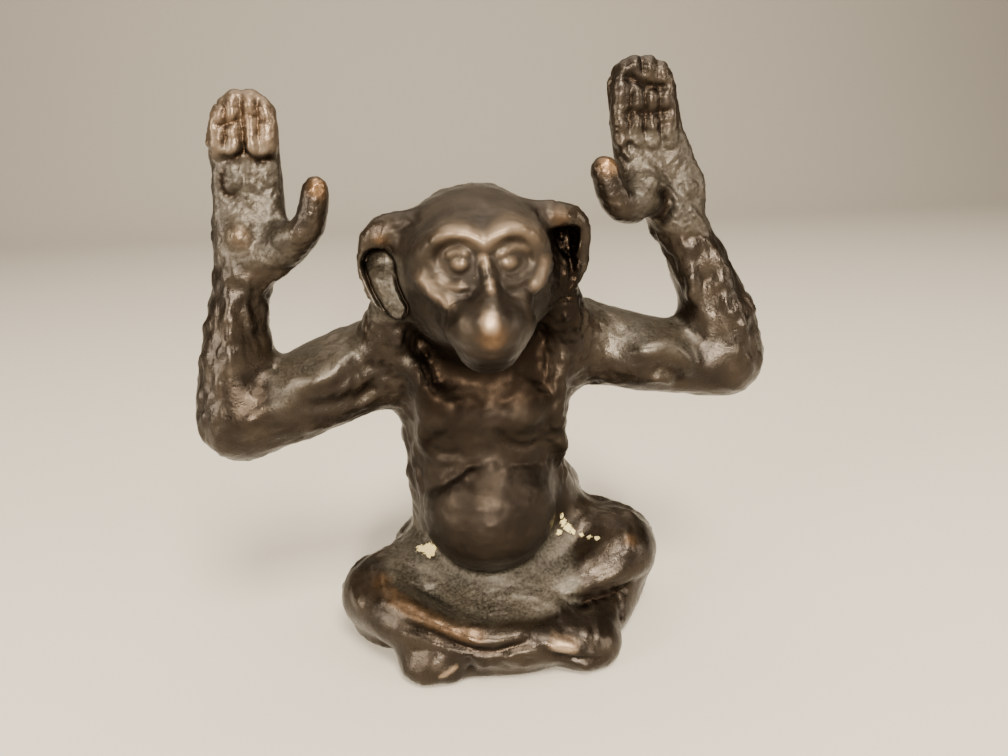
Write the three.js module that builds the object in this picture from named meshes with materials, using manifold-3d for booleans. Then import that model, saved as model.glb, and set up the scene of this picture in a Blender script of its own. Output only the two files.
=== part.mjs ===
// Seated monkey figure, cast in one piece and patinated dark brown. It sits cross-legged on its
// flat underside, pushes its head forward and holds both hands up with the palms to the front.
// Millimetres, +Z up. The face looks along -Y, and left and right are the viewer's. The origin is
// on the underside, below the chest.

import * as THREE from 'three';
import { mergeVertices } from 'three/addons/utils/BufferGeometryUtils.js';
import Module from 'manifold-3d';

const wasm = await Module();
wasm.setup();

// Driving dimensions: the joints of the pose, then the main sizes

const LEFT = {
  hip: [-6, 6, 5.8],
  knee: [-19.3, -0.6, 7.4],
  ankle: [9.5, -13.8, 4.4],
  foot: [-10.8, -12.6, 2.2],
  shoulder: [-14, 3, 47],
  elbow: [-37.6, 0, 40],
  wrist: [-33.9, 0, 65.5],
};
const RIGHT = {
  hip: [6, 9, 9],
  knee: [21.2, 2, 10.2],
  ankle: [4, -10, 4],
  foot: [12.9, -12.5, 2.7],
  shoulder: [13.5, 3, 48.2],
  elbow: [37.8, 0, 44.7],
  wrist: [28.4, 0, 68],
};

const CHEST = [-0.4, 3.5, 39];
const CHEST_WIDTH = 27.6;
const BELLY = [-0.7, -2.2, 22.8];
const BELLY_SIZE = 22;

const HEAD = [-1.9, -10, 64];
const SKULL_WIDTH = 22.8;
const MASK_WIDTH = 17.2;
const EYE_SIDE = 3.4;
const EYE_UP = 1.8;
const MUZZLE_ASIDE = 0.5;
const EAR_TURN = -8;
const BACK_BOW = 0.45;

const TRIANGLES = 9700;
const CELL = 0.6;
const BOX_LOW = [-48, -33, -3];
const BOX_HIGH = [48, 28, 93];

// Soft forms: each is a function that gives the distance in mm from a point to its surface, and
// is negative inside. Past REACH a rough distance is enough.

const REACH = 6;

function softMin(a, b, k) {
  const h = Math.max(k - Math.abs(a - b), 0) / k;
  return Math.min(a, b) - h * h * k * 0.25;
}

function join(k, ...forms) {
  return (x, y, z) => {
    let d = forms[0](x, y, z);
    for (let i = 1; i < forms.length; i++) d = softMin(d, forms[i](x, y, z), k);
    return d;
  };
}

function cut(k, form, tool) {
  return (x, y, z) => -softMin(-form(x, y, z), tool(x, y, z), k);
}

// Moves a form made around the origin to a place, turned by degrees about X, Y and Z.
function placed(form, [cx, cy, cz], turn = [0, 0, 0]) {
  const euler = new THREE.Euler(...turn.map(THREE.MathUtils.degToRad));
  const m = new THREE.Matrix4().makeRotationFromEuler(euler).elements;
  return (x, y, z) => {
    const px = x - cx;
    const py = y - cy;
    const pz = z - cz;
    return form(
      px * m[0] + py * m[1] + pz * m[2],
      px * m[4] + py * m[5] + pz * m[6],
      px * m[8] + py * m[9] + pz * m[10],
    );
  };
}

// Spares the work of a group of forms where the point is well outside the sphere around them.
function within([cx, cy, cz], radius, form) {
  return (x, y, z) => {
    const far = Math.sqrt((x - cx) ** 2 + (y - cy) ** 2 + (z - cz) ** 2) - radius;
    return far > REACH ? far : form(x, y, z);
  };
}

// An egg-like ball with three half sizes
function ball(centre, [rx, ry, rz], turn) {
  const egg = (x, y, z) => {
    const u = x / rx;
    const v = y / ry;
    const w = z / rz;
    const k0 = Math.sqrt(u * u + v * v + w * w);
    const k1 = Math.sqrt((u / rx) ** 2 + (v / ry) ** 2 + (w / rz) ** 2);
    return k1 < 1e-9 ? -Math.min(rx, ry, rz) : (k0 * (k0 - 1)) / k1;
  };
  return within(centre, Math.max(rx, ry, rz), placed(egg, centre, turn));
}

// A limb swells and tapers along a smooth line through [x, y, z, radius] stations.
function limb(stations, pieces = 4) {
  const line = new THREE.CatmullRomCurve3(stations.map(([x, y, z]) => new THREE.Vector3(x, y, z)));
  const girth = new THREE.CatmullRomCurve3(stations.map((s) => new THREE.Vector3(s[3], 0, 0)));
  const count = (stations.length - 1) * pieces;
  const dots = line.getPoints(count);
  const radii = girth.getPoints(count).map((p) => p.x);
  const stride = 9;
  const data = new Float64Array(count * stride);
  for (let i = 0; i < count; i++) {
    const along = dots[i + 1].clone().sub(dots[i]);
    const taper = radii[i + 1] - radii[i];
    data.set([...dots[i].toArray(), ...along.toArray(), radii[i], taper, 1 / along.lengthSq()], i * stride);
  }
  const strand = (x, y, z) => {
    let best = Infinity;
    for (let i = 0; i < data.length; i += stride) {
      const px = x - data[i];
      const py = y - data[i + 1];
      const pz = z - data[i + 2];
      const ex = data[i + 3];
      const ey = data[i + 4];
      const ez = data[i + 5];
      const t = Math.min(1, Math.max(0, (px * ex + py * ey + pz * ez) * data[i + 8]));
      const dx = px - t * ex;
      const dy = py - t * ey;
      const dz = pz - t * ez;
      const d = Math.sqrt(dx * dx + dy * dy + dz * dz) - data[i + 6] - t * data[i + 7];
      if (d < best) best = d;
    }
    return best;
  };
  const { center, radius } = new THREE.Sphere().setFromPoints(dots);
  return within(center.toArray(), radius + Math.max(...radii), strand);
}

// A station part of the way between two joints, moved aside
function between(from, to, t, radius, [dx, dy, dz] = [0, 0, 0]) {
  const [x, y, z] = from.map((value, i) => value + (to[i] - value) * t);
  return [x + dx, y + dy, z + dz, radius];
}

// A paddle is a flat form with an outline of [height, middle, half width, half thickness] rows.
// Its back is bowed across.
function paddle(rows, round) {
  const count = 48;
  const curves = [1, 2, 3].map((n) => {
    const line = new THREE.CatmullRomCurve3(rows.map((row) => new THREE.Vector3(row[0], row[n], 0)));
    return line.getPoints(count);
  });
  const low = rows[0][0];
  const high = rows[rows.length - 1][0];
  const lookup = (line, z) => {
    let i = 0;
    while (i < count - 1 && line[i + 1].x < z) i += 1;
    const t = THREE.MathUtils.clamp((z - line[i].x) / (line[i + 1].x - line[i].x), 0, 1);
    return THREE.MathUtils.lerp(line[i].y, line[i + 1].y, t);
  };
  return (x, y, z) => {
    const at = THREE.MathUtils.clamp(z, low, high);
    const [middle, half, thick] = curves.map((line) => lookup(line, at));
    const edge = Math.min(round, thick);
    const bow = y > 0 ? BACK_BOW * thick * ((x - middle) / half) ** 2 : 0;
    const qx = Math.abs(x - middle) - half + edge;
    const qy = Math.abs(y) - thick + edge + bow;
    const side = Math.hypot(Math.max(qx, 0), Math.max(qy, 0)) + Math.min(Math.max(qx, qy), 0) - edge;
    return z === at ? side : Math.max(side, Math.abs(z - at) + Math.min(side, 0));
  };
}

// Both halves of a pair come from one half, made at the positive side of the middle plane.
function paired(form) {
  return (x, y, z) => form(Math.abs(x), y, z);
}

// Legs: crossed shins over a solid lap, with each foot in front under the other knee

function legs() {
  const seat = ball([0.8, 8.5, 7], [18.5, 16, 11]);
  const lap = ball([1, -3.5, 2.2], [17.5, 13.2, 9.7]);
  const leftThigh = limb([
    [...LEFT.hip, 8.4], between(LEFT.hip, LEFT.knee, 0.56, 7.2, [0, -0.3, 0.3]), [...LEFT.knee, 6.5],
  ]);
  const rightThigh = limb([
    [...RIGHT.hip, 9.5], between(RIGHT.hip, RIGHT.knee, 0.6, 8.4, [0, 0.2, 0.3]), [...RIGHT.knee, 7.1],
  ]);
  const underKnee = ball([-15, 1, 0.8], [9.8, 9.2, 3.4]);
  const web = ball([0.5, -10.6, 0.6], [10, 5.2, 2.6]);
  const mass = join(3, seat, lap, leftThigh, rightThigh);
  const crossed = join(1, join(2, mass, rightShin(), underKnee, web), leftShin(), feet());
  return cut(0.6, join(1.8, crossed, rightKneeCap()), kneeGroove());
}

// The left shin lies on top and ends at the right foot.
function leftShin() {
  const { knee, ankle } = LEFT;
  return limb([
    between(knee, ankle, 0, 5.8, [-0.9, -0.9, -0.2]), between(knee, ankle, 0.18, 4.8, [-2, -5, 0.5]),
    between(knee, ankle, 0.36, 4, [-1.1, -7, 0.2]), between(knee, ankle, 0.62, 3.5, [-0.6, -6.3, 0.3]),
    between(knee, ankle, 0.85, 3.4, [-0.2, -3.3, 0.3]), between(knee, ankle, 1, 3.6, [0.5, 0.3, 0]),
  ]);
}

function rightShin() {
  const { knee, ankle } = RIGHT;
  return limb([
    between(knee, ankle, 0, 4.9, [0.6, -1, -6]), between(knee, ankle, 0.25, 4.3, [0.1, -5.8, -5.2]),
    between(knee, ankle, 0.6, 4.2, [0.1, -4.3, -1.5]), between(knee, ankle, 1, 4),
  ]);
}

function rightKneeCap() {
  const { knee } = RIGHT;
  return limb([
    between(knee, knee, 0, 5.6, [0.8, 0.8, 1.6]), between(knee, knee, 0, 6, [0.4, -3.2, 1.2]),
    between(knee, knee, 0, 4.8, [-4, -5.4, 0]), between(knee, knee, 0, 2.8, [-10, -7.6, -1]),
  ]);
}

function kneeGroove() {
  const { knee } = RIGHT;
  return limb([
    between(knee, knee, 0, 0.5, [-12.2, -12, -1]), between(knee, knee, 0, 1, [-9, -12.4, -1.6]),
    between(knee, knee, 0, 1, [-4.6, -11.2, -2]), between(knee, knee, 0, 1, [1, -9, -2.4]),
    between(knee, knee, 0, 0.8, [5, -6.5, -1.6]),
  ]);
}

function feet() {
  const left = ball(LEFT.foot, [6.2, 5.2, 4.2], [0, 0, -12]);
  const right = ball(RIGHT.foot, [6.3, 5.7, 4.5], [0, 0, 14]);
  return join(1, left, right);
}

// Trunk

function trunk() {
  const half = CHEST_WIDTH / 2;
  const hips = ball([-0.2, 8.5, 19], [half - 0.6, 12, 11]);
  const flank = ball([8.4, 7, 18], [7.8, 8, 9]);
  const waist = ball([-0.7, 4.5, 28], [half - 0.9, 11.2, 12]);
  const chest = ball(CHEST, [half, 11, 12.5]);
  const shoulders = limb([[...LEFT.shoulder, 7.4], [-1, 6, 48.5, 10.5], [...RIGHT.shoulder, 7]]);
  const paps = [-6, 5].map((x) => ball([x, -6.4, 41], [3.6, 1.5, 3.6]));
  return join(2, join(4, hips, flank, waist, chest, shoulders), ...paps, ...mane());
}

// The hair behind each ear runs down onto the shoulder.
function mane() {
  return [
    limb([[-13.4, -5.2, 58, 3.2], [-14.6, -3.2, 53.5, 4], [-16, -0.5, 49, 4.2]]),
    limb([[9.8, -5.2, 59, 3.2], [11.4, -3.2, 54, 4], [13.5, -0.5, 50, 4.2]]),
  ];
}

function belly() {
  const r = BELLY_SIZE / 2;
  return ball(BELLY, [r, r - 0.8, r]);
}

// The fur of the back ends in a row of short locks along both sides of the bare chest.
function furEdges() {
  const sides = [
    [[-14.4, -3.4, 52], [-11.8, -5.4, 48.4], [-10, -5.6, 43.6], [-10.1, -4.9, 39], [-10.8, -3.8, 34]],
    [[12.6, -2.6, 51], [10.8, -4.6, 46.4], [10, -4.9, 41], [10.4, -4, 36], [11.6, -0.8, 29.5]],
  ];
  const count = 6;
  const locks = sides.flatMap((side) => {
    const line = new THREE.CatmullRomCurve3(side.map((p) => new THREE.Vector3(...p)));
    return Array.from({ length: count }, (_, i) => {
      const root = line.getPoint(i / count).toArray();
      const tip = line.getPoint(Math.min(1, (i + 1.3) / count)).toArray();
      return limb([[...root, 1.7], [...tip, 0.7]], 1);
    });
  });
  return join(0.8, ...locks);
}

// Arms: out level from the shoulder, then bent up at the elbow

function leftArm() {
  const { shoulder, elbow, wrist } = LEFT;
  const upper = limb([
    [...shoulder, 7.2], between(shoulder, elbow, 0.3, 7.1, [0, -0.6, 0.8]),
    between(shoulder, elbow, 0.64, 6.8, [0, -0.6, 0]), [...elbow, 6.6],
  ]);
  const fore = limb([
    [...elbow, 6.7], between(elbow, wrist, 0.24, 5.9, [-0.8, 0, 0]),
    between(elbow, wrist, 0.5, 4.8, [-1, 0, 0]), between(elbow, wrist, 0.78, 4, [-0.6, 0, 0]),
    between(elbow, wrist, 1.05, 4.1),
  ]);
  const biceps = ball([-25, -2.4, 46], [8, 4.6, 4.4], [0, -18, 0]);
  return join(1.4, join(1.2, upper, fore), biceps);
}

function rightArm() {
  const { shoulder, elbow, wrist } = RIGHT;
  const upper = limb([
    [...shoulder, 7], between(shoulder, elbow, 0.27, 6.4, [0, -0.2, -0.2]),
    between(shoulder, elbow, 0.55, 6.1, [0, -0.3, -0.8]), [...elbow, 6.1],
  ]);
  const fore = limb([
    [...elbow, 6.3], between(elbow, wrist, 0.25, 6, [1.3, 0, 0]),
    between(elbow, wrist, 0.55, 4.8, [1.5, 0, 0]), between(elbow, wrist, 0.81, 4, [1, 0, 0]),
    between(elbow, wrist, 1.02, 3.9),
  ]);
  const biceps = ball([25.6, -1.6, 46.4], [8, 5.2, 5], [0, 4, 0]);
  const fold = ball([32, -6, 42.6], [2.6, 1.4, 1], [0, 20, 0]);
  return cut(0.8, join(1.6, join(1.2, upper, fore), biceps), fold);
}

// Hands: made palm forward, with the wrist at the origin and the fingers up. The four fingers lie
// closed side by side, a little proud of the palm.

function hand({ outline, knuckle, spread, girth, tips, thumb, pads }) {
  const front = -0.9;
  const fingers = tips.map(([tipX, tipZ], i) => {
    const x = knuckle[0] + (i - 1.5) * spread;
    return limb([[x, front, knuckle[1], girth], [tipX, front, tipZ - girth, girth * 0.92]], 1);
  });
  const cushions = pads.map(([x, y, z, r]) => ball([x, y, z], [r, r * 0.7, r]));
  return join(1, join(0.5, paddle(outline, 1.7), ...fingers, ...cushions), limb(thumb));
}

function leftHand() {
  const form = hand({
    outline: [
      [0, 0, 4, 3], [4, 1.2, 4.9, 2.6], [9, 1.5, 4.9, 2.2], [14, 1.8, 4.7, 2], [18, 2.5, 3.7, 1.7],
      [19.6, 2.6, 2.8, 1.4],
    ],
    knuckle: [1.8, 13.8],
    spread: 2.36,
    girth: 1.32,
    tips: [[-0.6, 19.2], [1.5, 20.6], [3.6, 20.6], [5.5, 19.2]],
    thumb: [[2.4, -1, -2, 3.2], [6.4, -3, 0.4, 2.8], [9.8, -5, 3.4, 2.3], [11.4, -5.8, 8.3, 1.9]],
    pads: [[0, -1.6, 1.6, 2.6], [5.6, -1.8, 1.6, 2.6], [-0.6, -1.2, 9.8, 2], [2.8, -1.2, 10.2, 2]],
  });
  return placed(form, LEFT.wrist);
}

function rightHand() {
  const form = hand({
    outline: [
      [0, 0, 4.2, 3], [4, -1.4, 6.2, 2.6], [8, -3, 6, 2.2], [13, -4.5, 5.4, 2], [18, -5.3, 4.8, 1.8],
      [20.6, -5.6, 3.6, 1.4],
    ],
    knuckle: [-4.5, 13],
    spread: 2.5,
    girth: 1.4,
    tips: [[-8.6, 20.4], [-6.8, 21.8], [-4.6, 21.8], [-2.4, 20.6]],
    thumb: [[-5, -2.6, 3.6, 3], [-7.4, -4, 1.6, 2.8], [-10, -5.4, 3, 2.4], [-11.8, -6, 7, 2.1]],
    pads: [[2.4, -1.2, 4, 2.4], [-4.6, -1.9, 3.6, 3]],
  });
  return placed(form, RIGHT.wrist);
}

// Head: made around a point between the ears, with the middle plane at x = 0

function skull() {
  const half = SKULL_WIDTH / 2;
  const dome = ball([0, 1.5, -1.3], [half, 13, half]);
  const forehead = ball([0, -3.4, 2.2], [MASK_WIDTH / 2 + 0.2, 10, 6.4]);
  const mask = ball([0, -6.6, 0.8], [MASK_WIDTH / 2, 6.1, 5.2]);
  const neck = limb([[0.9, 14, -14, 9.5], [0.3, 7, -7, 9]]);
  return join(3, join(2, dome, forehead, mask), neck);
}

function brow() {
  return paired(limb([
    [0, -12.7, 2.7, 1], [1.8, -12.7, 4.4, 1.2], [3.5, -12, 5, 1.3], [5.2, -11, 4.3, 1.3],
    [6.9, -9, 2.7, 1.2], [8, -6.6, 0.8, 1],
  ]));
}

function socket() {
  return paired(ball([EYE_SIDE + 0.5, -13.8, EYE_UP - 0.2], [3.1, 2.3, 2.8]));
}

function eye() {
  return paired(ball([EYE_SIDE - 0.1, -11.2, EYE_UP], [1.8, 1.7, 1.7]));
}

function cheek() {
  return paired(limb([
    [7.8, -7.2, 0.8, 0.9], [7, -9.5, -1, 1.1], [5, -11.3, -2.2, 1.2], [3, -12.2, -2.2, 0.9],
  ]));
}

function muzzle() {
  const snout = ball([0, -11.4, -6.3], [5.1, 7.8, 4.6]);
  const chin = ball([0, -9, -9.4], [4.1, 5.6, 3.4]);
  const lip = limb([[1.4, -15.4, -3.4, 1.3], [3.3, -14.4, -4, 1.4], [4.4, -11.8, -5.6, 1.3]]);
  return placed(join(2, join(1.5, snout, chin), paired(lip)), [MUZZLE_ASIDE, 0, 0]);
}

function nose() {
  const ridge = limb([
    [0, -12.2, 2.6, 0.6], [0.2, -13, 0.4, 0.7], [0.3, -14.6, -1.4, 0.9], [0.3, -16.3, -2.9, 1.4],
  ]);
  return join(1.5, ridge, ball([0.3, -17.4, -3.8], [1.8, 1.8, 1.8]));
}

// An ear is a hooded cup with a long lobe standing in it. The hood's outer corner may stand out.
function ear(side, lift, corner) {
  const rim = limb([
    [7, -0.8, 5.9, 1.7], [10.8, -0.4, 5.3, 2], [13.6 + corner, 0.2, 3.8 + corner, 1.8], [14.9, 0.6, 1, 1.2],
    [15, 0.8, -2, 0.9], [14.2, 0.6, -4.4, 0.9], [12.4, -0.4, -5.8, 1],
  ]);
  const cup = ball([11, 3, 0], [4.8, 2.4, 6.6], [0, 0, EAR_TURN]);
  const hollow = ball([11.8, -2, 1], [2.2, 3, 2.6]);
  const lobe = ball([11.5, 0.1, -3], [2.1, 1.9, 4.6], [0, 20, 0]);
  const form = join(0.5, cut(0.6, join(1, rim, cup), hollow), lobe);
  return (x, y, z) => form(x * side, y, z - lift);
}

function head() {
  const carved = cut(0.5, join(1.5, skull(), brow()), socket());
  const face = join(1.6, join(0.8, carved, eye(), cheek()), muzzle(), nose());
  return placed(join(1.2, face, ear(-1, -0.2, 0), ear(1, 0.4, 0.4)), HEAD);
}

// The whole casting as one form, which goes on a little below the underside

const seated = join(1.2, join(3, within([0, 3, 8], 34, legs()), trunk()), belly(), furEdges());
const standing = join(
  1.2,
  within([0, 5, 30], 42, seated),
  within([-29, 0, 52], 26, leftArm()),
  within([29, 0, 52], 26, rightArm()),
  within(HEAD, 26, head()),
  within([-31, -2, 75], 14, leftHand()),
  within([24, -2, 78], 15, rightHand()),
);
const casting = (x, y, z) => Math.max(standing(x, y, z), -1.5 - z);

// Skin: the form is sampled on a grid, and each cell that the surface crosses gets one vertex

class Grid {
  constructor(form) {
    this.size = BOX_HIGH.map((high, i) => Math.ceil((high - BOX_LOW[i]) / CELL) + 1);
    const [nx, ny, nz] = this.size;
    this.step = [1, nx, nx * ny];
    this.values = new Float32Array(nx * ny * nz).fill(REACH);
    this.corners = Array.from({ length: 8 }, (_, c) => (
      (c & 1) * this.step[0] + ((c >> 1) & 1) * this.step[1] + (c >> 2) * this.step[2]
    ));
    this.sample(form);
  }

  place(n, axis) {
    return BOX_LOW[axis] + n * CELL;
  }

  // Blocks of cells that lie wholly inside or outside are filled without sampling.
  sample(form) {
    const block = 4;
    const near = (block * CELL * Math.sqrt(3)) / 2 + 1.5;
    const [nx, ny, nz] = this.size;
    const middle = (n, axis) => this.place(n + block / 2, axis);
    for (let k = 0; k < nz; k += block) {
      for (let j = 0; j < ny; j += block) {
        for (let i = 0; i < nx; i += block) {
          const away = form(middle(i, 0), middle(j, 1), middle(k, 2));
          if (away > near) continue;
          this.sampleBlock(form, [i, j, k], block, away < -near);
        }
      }
    }
  }

  sampleBlock(form, low, block, isSolid) {
    const [endI, endJ, endK] = low.map((n, axis) => Math.min(n + block, this.size[axis]));
    for (let k = low[2]; k < endK; k++) {
      for (let j = low[1]; j < endJ; j++) {
        for (let i = low[0]; i < endI; i++) {
          const at = i + j * this.step[1] + k * this.step[2];
          this.values[at] = isSolid ? -REACH : form(this.place(i, 0), this.place(j, 1), this.place(k, 2));
        }
      }
    }
  }

  eachCell(first, visit) {
    const [nx, ny, nz] = this.size;
    for (let k = first; k < nz - 1; k++) {
      for (let j = first; j < ny - 1; j++) {
        for (let i = first; i < nx - 1; i++) visit(i + j * this.step[1] + k * this.step[2], i, j, k);
      }
    }
  }

  codeOf(at) {
    let code = 0;
    for (let c = 0; c < 8; c++) if (this.values[at + this.corners[c]] < 0) code |= 1 << c;
    return code;
  }

  // Where the metal or the air at a cell's corners falls into two parts, the cell is filled, so
  // that the skin never touches itself.
  closePinholes() {
    const simple = Array.from({ length: 256 }, (_, code) => isSimple(code));
    let changed = true;
    while (changed) {
      changed = false;
      this.eachCell(0, (at) => {
        if (simple[this.codeOf(at)]) return;
        for (const corner of this.corners) {
          if (this.values[at + corner] >= 0) this.values[at + corner] = -0.01;
        }
        changed = true;
      });
    }
  }

  // The middle of the points where the surface crosses the cell's edges
  crossing(at) {
    const sum = [0, 0, 0];
    let count = 0;
    for (let corner = 0; corner < 8; corner++) {
      const a = this.values[at + this.corners[corner]];
      for (let axis = 0; axis < 3; axis++) {
        if (corner & (1 << axis)) continue;
        const b = this.values[at + this.corners[corner] + this.step[axis]];
        if ((a < 0) === (b < 0)) continue;
        for (let n = 0; n < 3; n++) sum[n] += ((corner >> n) & 1) + (n === axis ? a / (a - b) : 0);
        count += 1;
      }
    }
    return sum.map((value) => value / count);
  }
}

function isSimple(code) {
  for (const want of [0, 1]) {
    const members = [0, 1, 2, 3, 4, 5, 6, 7].filter((c) => ((code >> c) & 1) === want);
    const seen = new Set(members.slice(0, 1));
    for (const c of seen) {
      for (const other of [c ^ 1, c ^ 2, c ^ 4]) if (members.includes(other)) seen.add(other);
    }
    if (seen.size < members.length) return false;
  }
  return true;
}

function skinOf(form) {
  const grid = new Grid(form);
  grid.closePinholes();
  const vertexOf = new Int32Array(grid.values.length);
  const points = [];
  const faces = [];
  grid.eachCell(0, (at, i, j, k) => {
    const code = grid.codeOf(at);
    if (code === 0 || code === 255) return;
    const centre = grid.crossing(at);
    vertexOf[at] = points.length / 3;
    points.push(...[i, j, k].map((n, axis) => grid.place(n + centre[axis], axis)));
  });
  grid.eachCell(1, (at) => {
    const isInside = grid.values[at] < 0;
    for (let axis = 0; axis < 3; axis++) {
      if (isInside === grid.values[at + grid.step[axis]] < 0) continue;
      const u = grid.step[(axis + 1) % 3];
      const v = grid.step[(axis + 2) % 3];
      const ring = [at, at - u, at - u - v, at - v].map((n) => vertexOf[n]);
      if (!isInside) ring.reverse();
      faces.push(ring[0], ring[1], ring[2], ring[0], ring[2], ring[3]);
    }
  });
  settle(form, points);
  return { points, faces };
}

// Moves the vertices onto the surface, along its slope.
function settle(form, points) {
  const e = 0.02;
  const most = CELL * 0.4;
  for (let i = 0; i < points.length; i += 3) {
    for (let pass = 0; pass < 2; pass++) {
      const x = points[i];
      const y = points[i + 1];
      const z = points[i + 2];
      const gx = (form(x + e, y, z) - form(x - e, y, z)) / (2 * e);
      const gy = (form(x, y + e, z) - form(x, y - e, z)) / (2 * e);
      const gz = (form(x, y, z + e) - form(x, y, z - e)) / (2 * e);
      const slope = Math.max(gx * gx + gy * gy + gz * gz, 0.25);
      const move = THREE.MathUtils.clamp(form(x, y, z) / slope, -most, most);
      points[i] -= move * gx;
      points[i + 1] -= move * gy;
      points[i + 2] -= move * gz;
    }
  }
}

// Thinning: the edge whose loss changes the surface least goes first, so that flat places thin
// most. Each vertex keeps the planes of its faces as one quadric of ten numbers.

class Queue {
  constructor() {
    this.items = [];
  }

  push(item) {
    const { items } = this;
    let i = items.length;
    items.push(item);
    while (i > 0) {
      const up = (i - 1) >> 1;
      if (items[up].cost <= item.cost) break;
      items[i] = items[up];
      i = up;
    }
    items[i] = item;
  }

  pop() {
    const { items } = this;
    const top = items[0];
    const last = items.pop();
    let i = 0;
    for (let child = 1; child < items.length; child = 2 * i + 1) {
      if (child + 1 < items.length && items[child + 1].cost < items[child].cost) child += 1;
      if (items[child].cost >= last.cost) break;
      items[i] = items[child];
      i = child;
    }
    if (items.length) items[i] = last;
    return top;
  }
}

class Thinner {
  constructor({ points, faces }, weightAt) {
    this.points = points;
    this.faces = faces;
    this.count = faces.length / 3;
    this.alive = new Uint8Array(this.count).fill(1);
    this.quadric = new Float64Array((points.length / 3) * 10);
    this.sum = new Float64Array(10);
    this.stamp = new Int32Array(points.length / 3);
    this.around = Array.from({ length: points.length / 3 }, () => []);
    this.queue = new Queue();
    for (let f = 0; f < this.count; f++) this.addPlane(f, weightAt);
    for (let f = 0; f < this.alive.length; f++) {
      const trio = this.trio(f);
      trio.forEach((u, i) => u < trio[(i + 1) % 3] && this.offer(u, trio[(i + 1) % 3]));
    }
  }

  trio(f) {
    return [this.faces[3 * f], this.faces[3 * f + 1], this.faces[3 * f + 2]];
  }

  at(v) {
    return new THREE.Vector3(this.points[3 * v], this.points[3 * v + 1], this.points[3 * v + 2]);
  }

  addPlane(f, weightAt) {
    const trio = this.trio(f);
    const [a, b, c] = trio.map((v) => this.at(v));
    const normal = b.sub(a).cross(c.sub(a));
    const weight = (normal.length() / 2) * weightAt(a.x, a.y, a.z);
    normal.normalize();
    const plane = [normal.x, normal.y, normal.z, -normal.dot(a)];
    for (const v of trio) {
      this.around[v].push(f);
      let slot = 10 * v;
      for (let i = 0; i < 4; i++) {
        for (let j = i; j < 4; j++) this.quadric[slot++] += weight * plane[i] * plane[j];
      }
    }
  }

  errorAt({ x, y, z }) {
    const q = this.sum;
    return x * (q[0] * x + 2 * (q[1] * y + q[2] * z + q[3]))
      + y * (q[4] * y + 2 * (q[5] * z + q[6])) + z * (q[7] * z + 2 * q[8]) + q[9];
  }

  offer(u, v) {
    const q = this.sum;
    for (let i = 0; i < 10; i++) q[i] = this.quadric[10 * u + i] + this.quadric[10 * v + i];
    const trace = q[0] + q[4] + q[7];
    const ends = [this.at(u), this.at(v)];
    const middle = ends[0].clone().lerp(ends[1], 0.5);
    const length = ends[0].distanceTo(ends[1]);
    const places = [middle, ...ends];
    const m = new THREE.Matrix3().set(q[0], q[1], q[2], q[1], q[4], q[5], q[2], q[5], q[7]);
    if (Math.abs(m.determinant()) > 1e-5 * trace ** 3) {
      const flattest = new THREE.Vector3(-q[3], -q[6], -q[8]).applyMatrix3(m.invert());
      if (flattest.distanceTo(middle) < length) places.push(flattest);
    }
    const costs = places.map((place) => this.errorAt(place));
    const least = Math.min(...costs);
    const place = places[costs.indexOf(least)];
    const cost = least + 1e-5 * trace * length * length;
    this.queue.push({ cost, place, u, v, su: this.stamp[u], sv: this.stamp[v] });
  }

  neighbours(v) {
    return new Set(this.around[v].flatMap((f) => this.trio(f)).filter((other) => other !== v));
  }

  // Refuses a move of v to place that turns a face over or makes it a sliver.
  spoils(v, other, place) {
    for (const f of this.around[v]) {
      const trio = this.trio(f);
      if (trio.includes(other)) continue;
      const old = trio.map((n) => this.at(n));
      const moved = trio.map((n, i) => (n === v ? place : old[i]));
      const longest = Math.max(...moved.map((p, i) => p.distanceToSquared(moved[(i + 1) % 3])));
      const before = old[1].clone().sub(old[0]).cross(old[2].clone().sub(old[0]));
      const after = moved[1].clone().sub(moved[0]).cross(moved[2].clone().sub(moved[0]));
      if (after.length() < 0.06 * longest) return true;
      if (after.dot(before) < 0.3 * after.length() * before.length()) return true;
    }
    return false;
  }

  merge(u, v, place, shared) {
    place.toArray(this.points, 3 * u);
    for (let i = 0; i < 10; i++) this.quadric[10 * u + i] += this.quadric[10 * v + i];
    for (const f of this.around[v]) {
      const trio = this.trio(f);
      if (trio.includes(u)) {
        this.alive[f] = 0;
        this.count -= 1;
      } else {
        this.faces[3 * f + trio.indexOf(v)] = u;
        this.around[u].push(f);
      }
    }
    this.around[v] = [];
    for (const w of [u, ...shared]) this.around[w] = this.around[w].filter((f) => this.alive[f]);
    this.stamp[v] = -1;
    this.stamp[u] += 1;
    for (const w of this.neighbours(u)) this.offer(u, w);
  }

  run(target) {
    while (this.count > target) {
      const { u, v, su, sv, place } = this.queue.pop();
      if (this.stamp[u] !== su || this.stamp[v] !== sv) continue;
      const near = this.neighbours(u);
      const shared = [...this.neighbours(v)].filter((w) => near.has(w));
      if (shared.length !== 2 || this.spoils(u, v, place) || this.spoils(v, u, place)) continue;
      this.merge(u, v, place, shared);
    }
    return this.faces.filter((_, i) => this.alive[Math.floor(i / 3)]);
  }
}

// Finer triangles go to the face and the hands, and next to none below the underside.
function weightAt(x, y, z) {
  if (z < -0.5) return 0.02;
  if (y < -18 && z > 58) return 500;
  if (y < -14 && z > 50) return 150;
  return z > 68 ? 30 : 1;
}

function geometryOf(points, faces) {
  const geometry = new THREE.BufferGeometry();
  geometry.setAttribute('position', new THREE.Float32BufferAttribute(points, 3));
  geometry.setIndex([...faces]);
  return geometry;
}

// The underside is ground flat: what lies below the origin plane is cut away

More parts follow.
